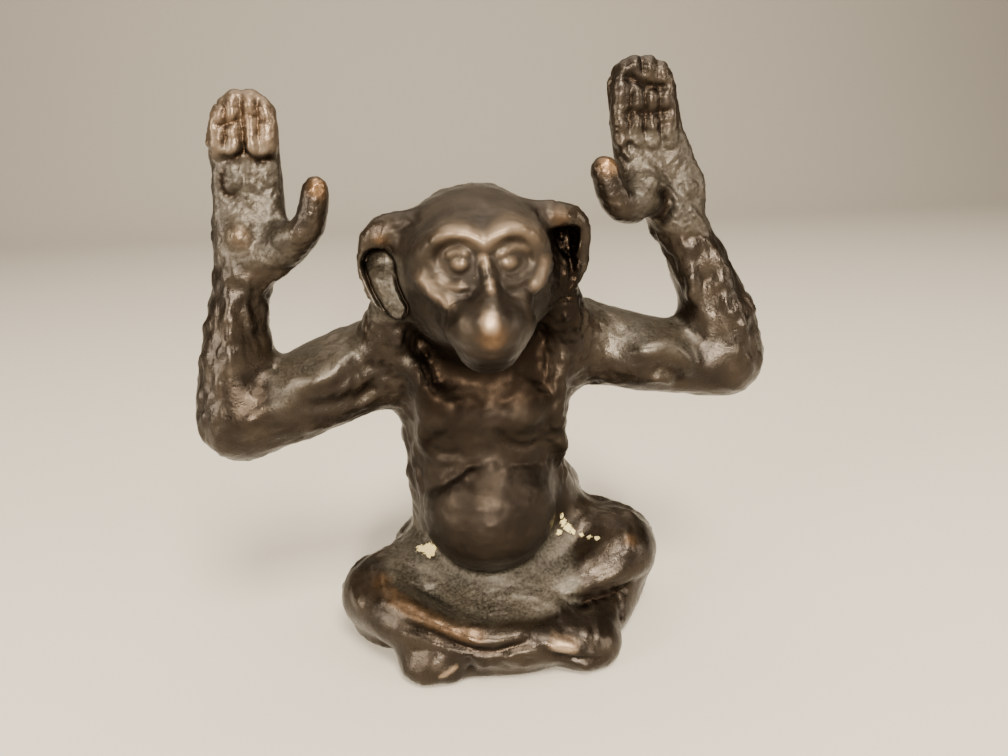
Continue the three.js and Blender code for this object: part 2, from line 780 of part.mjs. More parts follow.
function solidOf(geometry) {
  const bare = geometry.index ? geometry.toNonIndexed() : geometry;
  bare.deleteAttribute('normal');
  bare.deleteAttribute('uv');
  const merged = mergeVertices(bare);
  return new wasm.Manifold(new wasm.Mesh({
    numProp: 3,
    vertProperties: merged.attributes.position.array,
    triVerts: merged.index.array,
  }));
}

function groundFlat(solid) {
  const depth = 20;
  const below = new THREE.BoxGeometry(200, 200, depth).translate(0, 0, -depth / 2);
  const { vertProperties, triVerts } = solid.subtract(solidOf(below)).getMesh();
  return geometryOf(vertProperties, triVerts);
}

const skin = skinOf(casting);
const faces = new Thinner(skin, weightAt).run(TRIANGLES);
const geometry = groundFlat(solidOf(geometryOf(skin.points, faces)));
geometry.computeVertexNormals();

const bronze = new THREE.MeshStandardMaterial({ color: 0x4a3a2c, roughness: 0.45, metalness: 1 });
const monkey = new THREE.Mesh(geometry, bronze);
monkey.name = 'monkey_figure';

const part = new THREE.Group();
part.add(monkey);

export default part;
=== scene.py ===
import math

import bpy
import bmesh
import numpy as np
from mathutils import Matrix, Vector, kdtree, noise


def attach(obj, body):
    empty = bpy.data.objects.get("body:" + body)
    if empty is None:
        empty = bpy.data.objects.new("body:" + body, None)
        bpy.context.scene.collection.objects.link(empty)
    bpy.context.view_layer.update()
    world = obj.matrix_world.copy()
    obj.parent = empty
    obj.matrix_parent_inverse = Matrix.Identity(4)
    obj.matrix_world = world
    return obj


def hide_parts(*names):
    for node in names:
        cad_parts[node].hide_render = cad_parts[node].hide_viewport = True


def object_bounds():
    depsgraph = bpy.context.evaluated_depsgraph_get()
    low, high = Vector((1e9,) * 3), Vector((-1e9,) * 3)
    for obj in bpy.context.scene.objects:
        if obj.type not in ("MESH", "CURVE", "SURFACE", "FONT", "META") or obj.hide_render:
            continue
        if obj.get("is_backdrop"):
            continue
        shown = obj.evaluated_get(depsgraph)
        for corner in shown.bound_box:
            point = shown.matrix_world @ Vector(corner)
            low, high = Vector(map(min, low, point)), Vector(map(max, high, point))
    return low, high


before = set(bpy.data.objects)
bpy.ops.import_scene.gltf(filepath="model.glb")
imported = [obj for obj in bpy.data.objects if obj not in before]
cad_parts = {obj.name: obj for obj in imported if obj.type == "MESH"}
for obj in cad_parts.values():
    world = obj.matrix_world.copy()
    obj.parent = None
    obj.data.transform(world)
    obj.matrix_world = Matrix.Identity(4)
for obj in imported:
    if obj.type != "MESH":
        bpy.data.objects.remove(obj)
cad_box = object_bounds()


# The casting
# One piece of bronze, cast in a mould taken from a wax model. Its skin is a copy of the solid,
# made even, and finer where the modelling tools worked closely. Sizes of the casting are in mm.

SKIN_SPACING = 0.93
VIEWER = np.array([-9.2, -111.7, 82.0])


def even_skin(node, name, spacing):
    """A new piece with the shape of a CAD node and even faces of that spacing."""
    piece = bpy.data.objects.new(name, node.data.copy())
    bpy.context.scene.collection.objects.link(piece)
    bm = bmesh.new()
    bm.from_mesh(piece.data)
    bmesh.ops.remove_doubles(bm, verts=bm.verts, dist=1e-6)
    bm.to_mesh(piece.data)
    bm.free()
    round_off = piece.modifiers.new("round_off", "SUBSURF")
    round_off.levels = 1
    round_off.render_levels = 1
    remesh = piece.modifiers.new("remesh", "REMESH")
    remesh.mode = "VOXEL"
    remesh.voxel_size = spacing / 1000
    evaluated = piece.evaluated_get(bpy.context.evaluated_depsgraph_get())
    finished = bpy.data.meshes.new_from_object(evaluated)
    piece.modifiers.clear()
    piece.data = finished
    finished.name = name
    return piece


def ramp(values, start, end):
    """0 before start and 1 past end, with a soft change between them."""
    t = np.clip((values - start) / (end - start), 0, 1)
    return t * t * (3 - 2 * t)


def smooth_line(points, step=0.25):
    """A smooth line through the points, as an array of close points."""
    p = np.array(points, float)
    p = np.vstack([2 * p[0] - p[1], p, 2 * p[-1] - p[-2]])
    out = []
    for a, b, c, d in zip(p[:-3], p[1:-2], p[2:-1], p[3:]):
        count = max(2, int(np.linalg.norm(c - b) / step))
        t = np.linspace(0, 1, count, endpoint=False)[:, None]
        out.append(0.5 * (2 * b + (c - a) * t + (2 * a - 5 * b + 4 * c - d) * t ** 2
                          + (3 * b - a - 3 * c + d) * t ** 3))
    out.append(p[-2:-1])
    return np.vstack(out)


class Clay:
    """The skin of a piece in mm, worked along its normals as a modeller works wax."""

    def __init__(self, piece):
        self.mesh = piece.data
        self.read()

    def read(self):
        """Reads the points and edges of the mesh."""
        count = len(self.mesh.vertices)
        flat = np.empty(count * 3)
        self.mesh.vertices.foreach_get("co", flat)
        self.points = flat.reshape(-1, 3) * 1000
        pairs = np.empty(len(self.mesh.edges) * 2, dtype=np.int32)
        self.mesh.edges.foreach_get("vertices", pairs)
        self.pairs = pairs.reshape(-1, 2)
        self.valence = np.bincount(pairs, minlength=count)
        self.set()

    def set(self):
        """Stores the points in the mesh and reads the normals there, evened out a little so that
        deep work doesn't fold the skin."""
        self.mesh.vertices.foreach_set("co", (self.points / 1000).ravel())
        self.mesh.update()
        flat = np.empty(self.points.size)
        self.mesh.vertex_normals.foreach_get("vector", flat)
        self.normals = flat.reshape(-1, 3)
        for _ in range(5):
            self.normals = self.around(self.normals)
        self.normals /= np.linalg.norm(self.normals, axis=1)[:, None]

    def refine(self, chosen):
        """Halves the edges whose two ends are chosen."""
        bm = bmesh.new()
        bm.from_mesh(self.mesh)
        bm.verts.ensure_lookup_table()
        edges = [e for e in bm.edges if chosen[e.verts[0].index] and chosen[e.verts[1].index]]
        bmesh.ops.subdivide_edges(bm, edges=edges, cuts=1, use_grid_fill=True)
        bm.to_mesh(self.mesh)
        bm.free()
        self.read()

    def around(self, values):
        """The mean of the values next to each point."""
        a, b = self.pairs.T
        count = len(self.valence)
        ends = np.concatenate([a, b])
        others = values[np.concatenate([b, a])]
        if values.ndim == 1:
            return np.bincount(ends, others, count) / self.valence
        columns = [np.bincount(ends, others[:, i], count) / self.valence for i in range(3)]
        return np.stack(columns, axis=1)

    def relax(self, rounds, where=1.0, pulls=(0.5, -0.52)):
        """Smooths the skin and keeps its volume."""
        share = np.broadcast_to(where, len(self.points))[:, None]
        for _ in range(rounds):
            for pull in pulls:
                self.points += pull * share * (self.around(self.points) - self.points)
        self.set()

    def melt(self, rounds, where):
        """Smooths the skin until forms sink into it."""
        self.relax(rounds, where, (0.5,))

    def push(self, heights):
        """Moves the points out along their normals. The normals stay as they are until set()."""
        self.points += self.normals * heights[:, None]

    def inside(self, low, high, soft=1.0):
        """1 inside the box between two corners, and 0 outside it."""
        share = np.ones(len(self.points))
        for axis in range(3):
            share *= ramp(self.points[:, axis], low[axis] - soft, low[axis])
            share *= 1 - ramp(self.points[:, axis], high[axis], high[axis] + soft)
        return share

    def facing(self, direction, start, end):
        """1 where the skin faces a direction, and 0 where it turns away from it."""
        return ramp(self.normals @ np.array(direction, float), start, end)

    def grain(self, size, octaves=2, which=slice(None)):
        """An unevenness between about -1 and 1, with lumps of a size."""
        places = self.points[which] / size
        return np.array([noise.fractal(Vector(p), 1.0, 2.0, octaves) for p in places])

    def off_line(self, line, reach, taper):
        """For points near a line: which they are, how far off it, and how strong it is there.
        A line of (x, z) points is drawn from the front, and one of (x, y, z) in space."""
        path = smooth_line(line)
        axes = [0, 2] if path.shape[1] == 2 else [0, 1, 2]
        flat = self.points[:, axes]
        near = np.all((flat > path.min(0) - reach) & (flat < path.max(0) + reach), axis=1)
        which = np.flatnonzero(near)
        gaps = np.linalg.norm(flat[which, None, :] - path[None, :, :], axis=2)
        nearest = gaps.argmin(1)
        along = nearest / max(1, len(path) - 1)
        ends = np.minimum(along, 1 - along)
        strength = ramp(ends, -1e-6, taper) if taper else np.ones(len(which))
        return which, gaps[np.arange(len(which)), nearest], strength

    def stroke(self, line, width, height, where, taper=0.25, uneven=0.0):
        """Raises a ridge, or for a negative height cuts a groove, along a line."""
        reach = width * 0.5
        which, gap, strength = self.off_line(line, reach, taper)
        form = (1 - np.clip(gap / reach, 0, 1) ** 2) ** 2
        if uneven:
            strength = strength * (1 - uneven * ramp(self.grain(1.7, 2, which), -0.35, 0.35))
        heights = np.zeros(len(self.points))
        heights[which] = height * strength * form
        self.push(heights * where)

    def lump(self, centre, size, height, where):
        """Raises a round lump, or presses a round dip, seen from the front."""
        gap = np.linalg.norm(self.points[:, [0, 2]] - np.array(centre), axis=1) / (size * 0.5)
        self.push(height * where * (1 - np.clip(gap, 0, 1) ** 2) ** 2)


monkey = even_skin(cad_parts["monkey_figure"], "monkey_bronze", SKIN_SPACING)
clay = Clay(monkey)
clay.relax(6)

# The half that the viewer sees gets a finer skin, and the face, ears and palms a finer one still.
sight = VIEWER - clay.points
sight /= np.linalg.norm(sight, axis=1)[:, None]
clay.refine(np.einsum("ij,ij->i", sight, clay.normals) > 0.0)
clay.relax(3)
close_work = np.maximum.reduce([
    clay.inside((-18, -40, 54), (12, -9, 71.5)),
    clay.inside((-40, -12, 64), (-15, 1, 92)),
    clay.inside((14, -12, 65), (34, 1, 92)),
]) * clay.facing((0, -1, 0), -0.2, 0.1)
clay.refine(close_work > 0.3)
clay.relax(3)


# Head and face
# The face is bare: a heavy double-arched brow, small round eyes deep under it, bags and cheeks that
# curve up beside the nose, and a full muzzle. It was shaped in the wax with a rounded tool.

front = clay.facing((0, -1, 0), -0.15, 0.25)
face = clay.inside((-13, -40, 52), (9.5, -12, 76)) * front
EYES = [(-4.8, 65.9), (1.3, 65.8)]
SOCKET_RADIUS = 3.5
LID_RADIUS = 1.7
BALL_RADIUS = 1.15

# The face is smoothed first, and the nose set back to leave room for the metal added on it.
clay.relax(30, face * clay.inside((-8, -40, 50), (5, -20, 62), 2))
clay.relax(12, face)
clay.melt(5, clay.inside((-16, -30, 66), (14, 12, 80), 2))
clay.points[:, 1] += 1.1 * face * clay.inside((-5, -40, 57), (1.6, -25.5, 61), 3)
clay.set()


def press_eye(x, z):
    """Presses a socket with a lidded eye into the smooth face. The level of the socket is that of
    a soft saddle laid on the skin around it."""
    across = clay.points[:, [0, 2]] - (x, z)
    off = np.hypot(*across.T)
    rim = (off > 2.9) & (off < 4.1) & (face > 0.5)
    terms = np.stack([np.ones(len(off)), *across.T, off ** 2, across[:, 0] ** 2], axis=1)
    level = terms @ np.linalg.lstsq(terms[rim], clay.points[rim, 1], rcond=None)[0]
    socket = 0.6 * (1 - (off / SOCKET_RADIUS) ** 2)
    upper_lid = 0.5 * np.exp(-(np.hypot(across[:, 0], across[:, 1] - 0.6) / LID_RADIUS) ** 2)
    ball = 0.8 * np.exp(-(off / BALL_RADIUS) ** 2)
    share = face * (1 - ramp(off, 2.4, 3.6))
    clay.points[:, 1] += share * (level + socket - upper_lid - ball - clay.points[:, 1])


for x, z in EYES:
    press_eye(x, z)
clay.set()
clay.relax(2, face)

BROW = [(-9.9, 64.4), (-9.2, 66), (-7.9, 67.9), (-6.6, 69.1), (-5.2, 69.7), (-3.7, 69.4), (-2.6, 68.8),
        (-1.6, 68.5), (-0.7, 68.9), (0.2, 69.6), (1.3, 70), (2.6, 69.7), (4.3, 68.8), (6.1, 67.4), (7, 65.8)]
UNDER_BROW = [(-9, 65), (-7.6, 67), (-6.4, 68), (-4.9, 68.4), (-3.6, 68.1), (-2.7, 67.5), (-1.8, 67.1),
              (-0.9, 67.5), (0.2, 68.1), (2.1, 68.4), (3.9, 67.9), (5.8, 66.4)]
LIDS = [[(-6.3, 66.3), (-5.9, 67), (-5.1, 67.5), (-4.1, 67.2), (-3.6, 66.5)],
        [(-0.4, 66.3), (0.4, 67), (1.8, 67.6), (3.3, 67.2), (4.2, 66.4)]]
clay.stroke(BROW, 5.8, 0.55, face, taper=0.12)
clay.set()
clay.stroke(UNDER_BROW, 2.8, -0.4, face, taper=0.12)
clay.set()
for lid in LIDS:
    clay.stroke(lid, 1.7, 0.34, face)
for x, z in EYES:
    clay.stroke([(x - 1.3, z + 0.3), (x, z + 0.85), (x + 1.3, z + 0.3)], 0.8, -0.12, face)
    clay.stroke([(x - 1.4, z - 0.4), (x, z - 1.35), (x + 1.4, z - 0.4)], 1.2, -0.08, face)

BAG = [(-7.8, 64.9), (-7.2, 64), (-6, 63.3), (-4.9, 63.3), (-4, 63.9)]
RIGHT_BAG = [(-0.1, 64.7), (0.7, 64), (1.9, 63.6), (3.1, 63.9), (3.8, 64.9)]
CHEEK = [(-10.2, 65), (-9.4, 64.2), (-8.5, 63.4), (-7.7, 62.4), (-6.5, 61.7), (-5.2, 61.8)]
RIGHT_CHEEK = [(6.2, 66.6), (5.9, 65.4), (5.6, 64.3), (4.9, 63.1), (3.6, 62.2)]
clay.stroke(BAG, 2.1, 0.34, face)
clay.stroke(RIGHT_BAG, 2, 0.22, face)
clay.stroke(CHEEK, 3.4, 0.62, face)
clay.stroke(RIGHT_CHEEK, 3.4, 0.62, face)
clay.set()
clay.relax(3, face)

# The bridge of the nose runs down between full cheeks, with a groove along each side of the muzzle
# and a faint closed mouth below.
BRIDGE = [(-2, 67.3), (-1.9, 66.6), (-1.6, 65.9), (-1.3, 65.1), (-1.1, 64.4)]
LOWER_BRIDGE = [(-1.1, 64.1), (-1, 63.3), (-1.1, 62.6), (-1.4, 61.8), (-1.7, 61)]
LEFT_GROOVE = [(-7.4, 58.2), (-6.9, 59.6), (-5.9, 61), (-4.6, 61.9), (-3.4, 62.3), (-2.5, 62.7)]
RIGHT_GROOVE = [(-0.3, 62.7), (0.8, 62.2), (2, 61.7), (3.1, 60.6), (4.2, 58.8)]
MOUTH = [(-6, 57.4), (-4.2, 56.4), (-1.8, 56), (0.8, 56.4), (2.6, 57.4)]
clay.lump((-5, 59.4), 7.2, 0.85, face)
clay.lump((1.6, 59.2), 7.2, 0.85, face)
clay.set()
clay.stroke(BRIDGE + LOWER_BRIDGE[:3], 3, 0.28, face, taper=0.3)
clay.stroke(BRIDGE[1:] + LOWER_BRIDGE, 2.8, 0.28, face, taper=0.15)
clay.lump((-1.75, 60.2), 5.4, 0.8, face)
clay.lump((-1.7, 58.2), 5, 0.3, face)
clay.stroke(LEFT_GROOVE, 2.2, -0.42, face)
clay.stroke(RIGHT_GROOVE, 2.2, -0.42, face)
clay.stroke(MOUTH, 1.8, -0.1, face)
clay.set()

# Low lumps over the brow, each with its place, size and height
FOREHEAD_LUMPS = [
    (-3.4, 70.8, 2.6, 0.14), (-1.9, 71.2, 2.2, 0.12), (-1.4, 72.8, 3.6, 0.14), (-4.8, 71.8, 2.6, 0.12),
    (2.5, 72.2, 3.2, 0.1), (-2.4, 74.6, 4, 0.1),
]
for x, z, size, height in FOREHEAD_LUMPS:
    clay.lump((x, z), size, height, face)
clay.relax(5, face)


# Ears
# Each ear is a hooded cup set close to the head. A broad tongue fills the left cup below its hollow;
# the right one is a deep rough hollow, with the fur of the neck running up into it.

ears = clay.inside((-20, -22, 53), (16, 2, 74)) * front
left_cup = clay.inside((-17, -22, 56.5), (-12, 2, 66), 0.8) * front
right_cup = clay.inside((7.4, -22, 52), (12.6, 2, 68), 0.8) * front
clay.melt(6, np.maximum(left_cup, right_cup))

# The left cup narrows downwards. Its floor is deepest under the hood, and the tongue rises from it
# nearly to the rim, with a gap all round its sides and lower end.
TONGUE = [(-14.8, 63.8), (-14.6, 62.6), (-14.2, 61), (-13.5, 59.3), (-12.9, 58.3)]
cup, off, _ = clay.off_line(TONGUE, 3.4, 0)
x, y, z = clay.points[cup].T
down = np.clip((63.8 - z) / 5.6, 0, 1)
rim_level = -11.4 - 0.6 * (x + 14.2)
tongue = -0.3 + 0.7 * (off / 1.8) ** 2 + 2.1 * ramp(z, 62, 64.3)
bottom = 1.0 + 1.3 * ramp(z, 62.4, 64.8)
risen = 1 - ramp(off, 1.5 - 0.4 * down, 2.0 - 0.5 * down)
pressed = 1 - ramp(off, 2.1 - 0.5 * down, 2.7 - 0.5 * down)
target = rim_level + risen * tongue + (1 - risen) * bottom
ear_gap = np.zeros(len(clay.points))
ear_gap[cup] = pressed * (1 - risen)
clay.points[cup, 1] += pressed * front[cup] * (y < -5) * (target - y)

# The right cup is a square hollow under its hood, and shelves up to the fur below.
cup = clay.inside((7.9, -22, 58), (11.2, 2, 67.4), 1.1) * front
clay.points[:, 1] += cup * (0.8 + 1.6 * ramp(clay.points[:, 2], 61.5, 65))
clay.set()

# The hoods have uneven lumps along the top, and a groove where they meet the skull.
LEFT_SEAM = [(-13.2, 68.2), (-12.4, 68.8), (-11, 69.5), (-9.7, 70.2), (-8.6, 70.8)]
clay.stroke(LEFT_SEAM, 1.6, -0.35, ears, uneven=0.4)
clay.stroke([(-12.8, 69.4), (-11.4, 70), (-10, 70.8)], 2.2, 0.2, ears, uneven=0.5)
clay.lump((-14.2, 67.5), 3, 0.5, ears)
clay.lump((-12.5, 66.8), 2.2, 0.25, ears)
clay.stroke([(7.2, 69.6), (8.8, 69.7), (10.2, 69.4), (11.8, 68.8)], 2.4, 0.5, ears)
clay.stroke([(5, 70.6), (5.3, 69.7), (5.6, 68.9)], 1.6, 0.25, ears)
clay.stroke([(6, 70.8), (6.4, 69.8), (7, 68.6), (7.4, 67.2)], 1.6, -0.35, ears)
clay.set()
clay.relax(4, ears)
ruff = clay.inside((7.2, -22, 50), (13, 2, 65), 1.2) * front
clay.push(ruff * (0.2 * clay.grain(1.1, 2) + 0.1 * clay.grain(2.4)) + 0.07 * left_cup * clay.grain(0.6))
clay.relax(1, ears)


# Hands
# Both palms face the viewer. Grooves part the closed fingers, creases cross them at the joints,
# and the rough palms have pads, wrinkles and a round ball under the thumb.

flat_on = clay.facing((0, -1, 0), 0.1, 0.6)
left_palm = clay.inside((-40, -12, 64), (-18, 4, 92), 2) * flat_on
right_palm = clay.inside((14.6, -12, 66), (34, 4, 92), 2) * flat_on


def raise_fingers(fingers, width, height, where):
    """Raises a row of round fingers side by side."""
    nearest = np.full(len(clay.points), width)
    for finger in fingers:
        which, gap, _ = clay.off_line(finger, width, 0)
        nearest[which] = np.minimum(nearest[which], gap)
    clay.push(height * where * np.sqrt(np.clip(1 - (2 * nearest / width) ** 2, 0, 1)))


# Fingers are centre lines. Lines are grooves, creases and ridges with their width and height, and
# pads have their place, size and height.
LEFT_FINGERS = [
    [(-34, 85.2), (-34.8, 81.8), (-35.1, 78.8)], [(-32.5, 86.4), (-32.9, 82), (-33.1, 78.4)],
    [(-30.4, 86.5), (-30.5, 82), (-30.8, 78.2)], [(-28.5, 85.6), (-28.4, 82), (-28.8, 78.6)],
]
LEFT_LINES = [
    ([(-31.4, 86), (-31.3, 84.2), (-31.5, 81.9), (-31.7, 80.1), (-31.8, 78.6)], 1.7, -0.3),
    ([(-33.3, 85.5), (-33.5, 84.2), (-33.8, 82), (-34, 80.4), (-34.3, 78.8)], 1.5, -0.14),
    ([(-29.4, 85.6), (-29.3, 83.7), (-29.5, 81.9), (-29.9, 80)], 1.5, -0.14),
    ([(-35.3, 82), (-34, 82.3), (-32.8, 82.5), (-31.5, 83.1)], 1.2, -0.42),
    ([(-31.1, 83.4), (-30.3, 83.3), (-29.1, 82.9), (-27.6, 82.3)], 1, -0.16),
    ([(-35.9, 78.8), (-34.9, 78.1), (-33.7, 77.9), (-32.5, 78.4), (-31.8, 78.9), (-31.1, 78.1), (-30, 77.5),
      (-28.8, 77.9), (-27.4, 79)], 1.6, -0.3),
    ([(-34.4, 77.2), (-35.1, 76), (-35.4, 74.6), (-35.1, 73.4), (-34.1, 73.1), (-32.9, 73.5)], 1.8, -0.25),
]
LEFT_PADS = [
    (-34.2, 84, 2.2, 0.16), (-32.8, 85, 2, 0.2), (-30.4, 84.8, 2.4, 0.26), (-28.4, 84.4, 2.2, 0.2),
    (-34.7, 80.4, 2.2, 0.14), (-32.8, 81.2, 2.2, 0.14), (-33, 79.6, 2.4, 0.16), (-30.5, 79.6, 2.4, 0.2),
    (-28.5, 80, 2.2, 0.16), (-33.6, 76.7, 2.2, 0.2), (-33.5, 74.9, 2.8, 0.45), (-31.1, 76.3, 2, 0.2),
    (-31.5, 74.7, 1.9, 0.3), (-29.2, 76.4, 2, 0.2), (-29.3, 75, 2.2, 0.2), (-27.9, 76.2, 1.8, 0.2),
    (-30.7, 73.9, 2, 0.2), (-28.4, 74.4, 2.2, 0.15), (-32.1, 72.1, 2, 0.22), (-33.8, 68, 5.4, 0.6),
    (-28.4, 67.9, 4.6, 0.5), (-26, 67.9, 4.6, 0.3),
]

# The left fingers stand proud of the palm above a scalloped edge.
left_edge = np.interp(clay.points[:, 0], [-36, -35, -33.5, -32.4, -31.8, -31.2, -29.6, -28.4, -27.2],
                      [79.2, 78.5, 78.1, 78.6, 79.6, 78.3, 77.7, 78, 79.3])
clay.push(0.6 * left_palm * ramp(clay.points[:, 2] - left_edge, -0.1, 0.7))
clay.set()
raise_fingers(LEFT_FINGERS, 2.3, 0.6, left_palm)
clay.set()
for line, width, height in LEFT_LINES:
    clay.stroke(line, width * 1.1, height, left_palm, taper=0.12, uneven=0.2)
clay.set()
for x, z, size, height in LEFT_PADS:
    clay.lump((x, z), size, height, left_palm)
clay.set()

RIGHT_FINGERS = [
    [(20.4, 88.2), (20, 85), (19.8, 82), (20, 78.8)], [(21.8, 89.6), (22, 85), (22.1, 82), (22.3, 78.6)],
    [(23.8, 89.4), (24.1, 85), (24.3, 82), (24.6, 78.4)],
    [(25.8, 88.4), (26.3, 85), (26.7, 82), (27.2, 78.4)],
]
RIGHT_LINES = [
    ([(19.9, 87.5), (21, 86.8), (22.1, 86.3), (23.4, 85.8), (25, 85.5), (26.7, 85.3)], 1.9, -0.7),
    ([(19.7, 81.9), (21.1, 82.1), (22.5, 82.3), (24, 82.1), (25.7, 82.3), (27.6, 82.3)], 2, -0.42),
    ([(22.5, 89.7), (22.6, 88.4), (22.7, 87.2)], 1, -0.25),
    ([(21.1, 86), (21.2, 84.6), (21.1, 83), (21.1, 81), (21.2, 79.4)], 1.5, -0.12),
    ([(23.1, 85.6), (23.2, 84.3), (23.3, 82.7), (23.2, 81), (23.4, 78.6)], 1.5, -0.16),
    ([(25.1, 85.1), (25.2, 83.8), (25.2, 82.4), (25.3, 81), (25.5, 78.7)], 1.5, -0.12),
    ([(19.5, 78.6), (20.4, 77.1), (21.6, 75.8)], 1.4, 0.35),
    ([(21.4, 77.4), (22.8, 76.4), (24.2, 75.5)], 1.1, 0.2),
    ([(22.4, 75.9), (23.8, 75), (25.2, 74.2)], 1.1, 0.2),
    ([(23.6, 77), (25, 76), (26.4, 75)], 1.1, 0.18),
    ([(24.2, 72.3), (26, 71), (26.6, 69.4), (26, 67.9), (25, 66.6)], 3.2, -0.5),
    ([(25.4, 72.7), (27.1, 71.3), (28.4, 69.8)], 1.3, 0.45),
    ([(28, 69.6), (29.6, 67.4), (31.2, 65)], 1.5, 0.3),
    ([(29.6, 69.4), (31.8, 66.9), (33.6, 64.6)], 1.5, 0.3),
]
RIGHT_PADS = [
    (20.2, 87.6, 2.2, 0.14), (21.5, 88.6, 2.6, 0.4), (23.7, 88.2, 2.6, 0.4), (25.7, 87.6, 2.2, 0.2),
    (19.9, 84.8, 2.4, 0.2), (22.1, 84.6, 2.4, 0.18), (24.1, 84.3, 2.4, 0.18), (26.3, 84.1, 2.4, 0.18),
    (19.9, 80.6, 2.2, 0.14), (22.1, 80.2, 2.4, 0.18), (24.3, 80.2, 2.4, 0.18), (26.6, 79.6, 2.6, 0.2),
    (21.2, 78, 1.6, -0.4), (22.4, 71, 5, 0.5), (29.6, 71.7, 4, 0.7), (24, 73.4, 2.4, 0.15),
    (28, 76, 4, 0.2),
]
raise_fingers(RIGHT_FINGERS, 2.4, 0.5, right_palm)
clay.set()
for line, width, height in RIGHT_LINES:
    clay.stroke(line, width, height, right_palm, taper=0.12, uneven=0.2)
clay.set()
for x, z, size, height in RIGHT_PADS:
    clay.lump((x, z), size, height, right_palm)

# Short fine ridges cross the edge of the right hand on the side of its thumb.
FINE_RIDGE_SPACING = 0.75
for z in np.arange(76.8, 86.4, FINE_RIDGE_SPACING):
    clay.stroke([(17.9, z), (19.3, z + 0.25)], 0.6, 0.14, right_palm, taper=0, uneven=0.5)
clay.relax(9, np.maximum(left_palm, right_palm))


# Arms
# The muscles show under short fur: the biceps ends in folds at the crook, and a long uneven ridge
# runs down each forearm.

left_arm = clay.inside((-46, -14, 32), (-13, 14, 66), 2) * front
right_arm = clay.inside((13, -14, 32), (46, 14, 68), 2) * front
LEFT_BICEPS = [(-28.2, 45.6), (-26.9, 46.6), (-24.7, 47.6), (-21.1, 49.4), (-16.5, 51.9)]
LEFT_RIDGE = [(-34.8, 66), (-36, 61), (-36.5, 56.8), (-37.2, 51.7), (-38.7, 45.4)]
clay.stroke(LEFT_BICEPS, 4.6, 0.7, left_arm)
clay.stroke([(-29, 44.4), (-27.4, 43.9), (-23.8, 43.2), (-19.4, 43.8), (-15.5, 46.6)], 4, -0.8, left_arm)
clay.stroke([(-32.8, 60), (-33.6, 54.6), (-34, 50.3), (-34.6, 44.7)], 3.8, -0.4, left_arm, uneven=0.3)
clay.stroke(LEFT_RIDGE, 3.8, 0.6, left_arm, uneven=0.6)
clay.stroke([(-31.6, 58), (-31.7, 54), (-31.8, 50)], 2.4, 0.25, left_arm, uneven=0.5)
clay.stroke([(-37.7, 39.8), (-35.5, 41.5), (-32.3, 43.1), (-28.6, 44.2)], 2.2, 0.3, left_arm)
clay.stroke([(-32.6, 48.9), (-30.6, 47.7), (-29.3, 46.2)], 2.2, -0.35, left_arm)

RIGHT_RIDGE = [(31.2, 67.2), (33.2, 63.8), (34.9, 60.5), (36.4, 56.8), (37.9, 52.3), (39.3, 46.4)]
RIGHT_BICEPS = [(19.6, 48.2), (22.5, 48.5), (24.7, 48.8), (27.1, 48.7), (28.9, 47.6), (30.1, 45.8),
                (30.9, 43.4)]
clay.stroke(RIGHT_RIDGE, 3, 0.65, right_arm, uneven=0.5)
clay.stroke([(28.6, 64.4), (30, 60.4), (30.7, 57.6), (31.8, 53.7)], 2.8, 0.5, right_arm, uneven=0.4)
clay.stroke([(32, 62.4), (33.2, 57.6), (34.4, 52.4), (35.4, 47)], 3.2, -0.35, right_arm, uneven=0.3)
clay.stroke(RIGHT_BICEPS, 4, 0.7, right_arm)
clay.set()
clay.stroke([(23.1, 45.6), (26.2, 45.5), (28.2, 44.5), (29.2, 43), (29.8, 41.2)], 3.2, -0.8, right_arm)
clay.stroke([(24, 43.6), (26.4, 43.6), (28.2, 42.4)], 1.7, 0.4, right_arm)
clay.relax(4, np.maximum(left_arm, right_arm))
clay.melt(6, left_arm * clay.inside((-38, -20, 41.5), (-30, 4, 48), 2.5))


# Chest and belly
# The chest and belly are bare. The full belly is a ball that meets the chest in a crease at each
# side, and ropes of fur hang from the shoulders beside the chest.

torso = clay.inside((-13, -16, 12), (12, 2, 52), 1.5) * front
clay.melt(10, torso * clay.inside((-12, -20, 26), (11, 2, 34), 1.5))
LEFT_CREASE = [(-11.6, 26), (-9.5, 28.3), (-7.9, 29.4), (-6.5, 30.5), (-4.8, 31.7), (-3.2, 32.4),
               (-1.2, 32.8)]
clay.stroke(LEFT_CREASE, 1.5, -0.45, torso)
clay.stroke([(1.6, 32.3), (3.8, 31.8), (5.6, 31.4), (8, 30.4), (10, 29)], 1.5, -0.3, torso)
clay.stroke([(0.3, 38.7), (1.1, 36.8), (2.5, 35.2), (5, 34.3), (7.2, 34.6), (8.3, 35.4)], 2.2, -0.5, torso)
clay.stroke([(-10.1, 37), (-9, 34.4), (-6.6, 33.9), (-4.3, 34.7)], 2, -0.3, torso)
clay.stroke([(-9.7, 32.2), (-7, 32.6), (-4.7, 33.5)], 2, 0.25, torso)
TORSO_LUMPS = [
    (-6.3, 41.5, 5, 0.35), (-8.8, 38.8, 4, 0.3), (4.4, 39.4, 7, 0.5), (5, 39, 2.4, 0.1),
    (-4.2, 31.2, 2.2, 0.22), (-0.6, 32.2, 2.6, 0.16), (-2.6, 36.1, 2.2, 0.14), (3, 26.6, 5, 0.12),
]
for x, z, size, height in TORSO_LUMPS:
    clay.lump((x, z), size, height, torso)

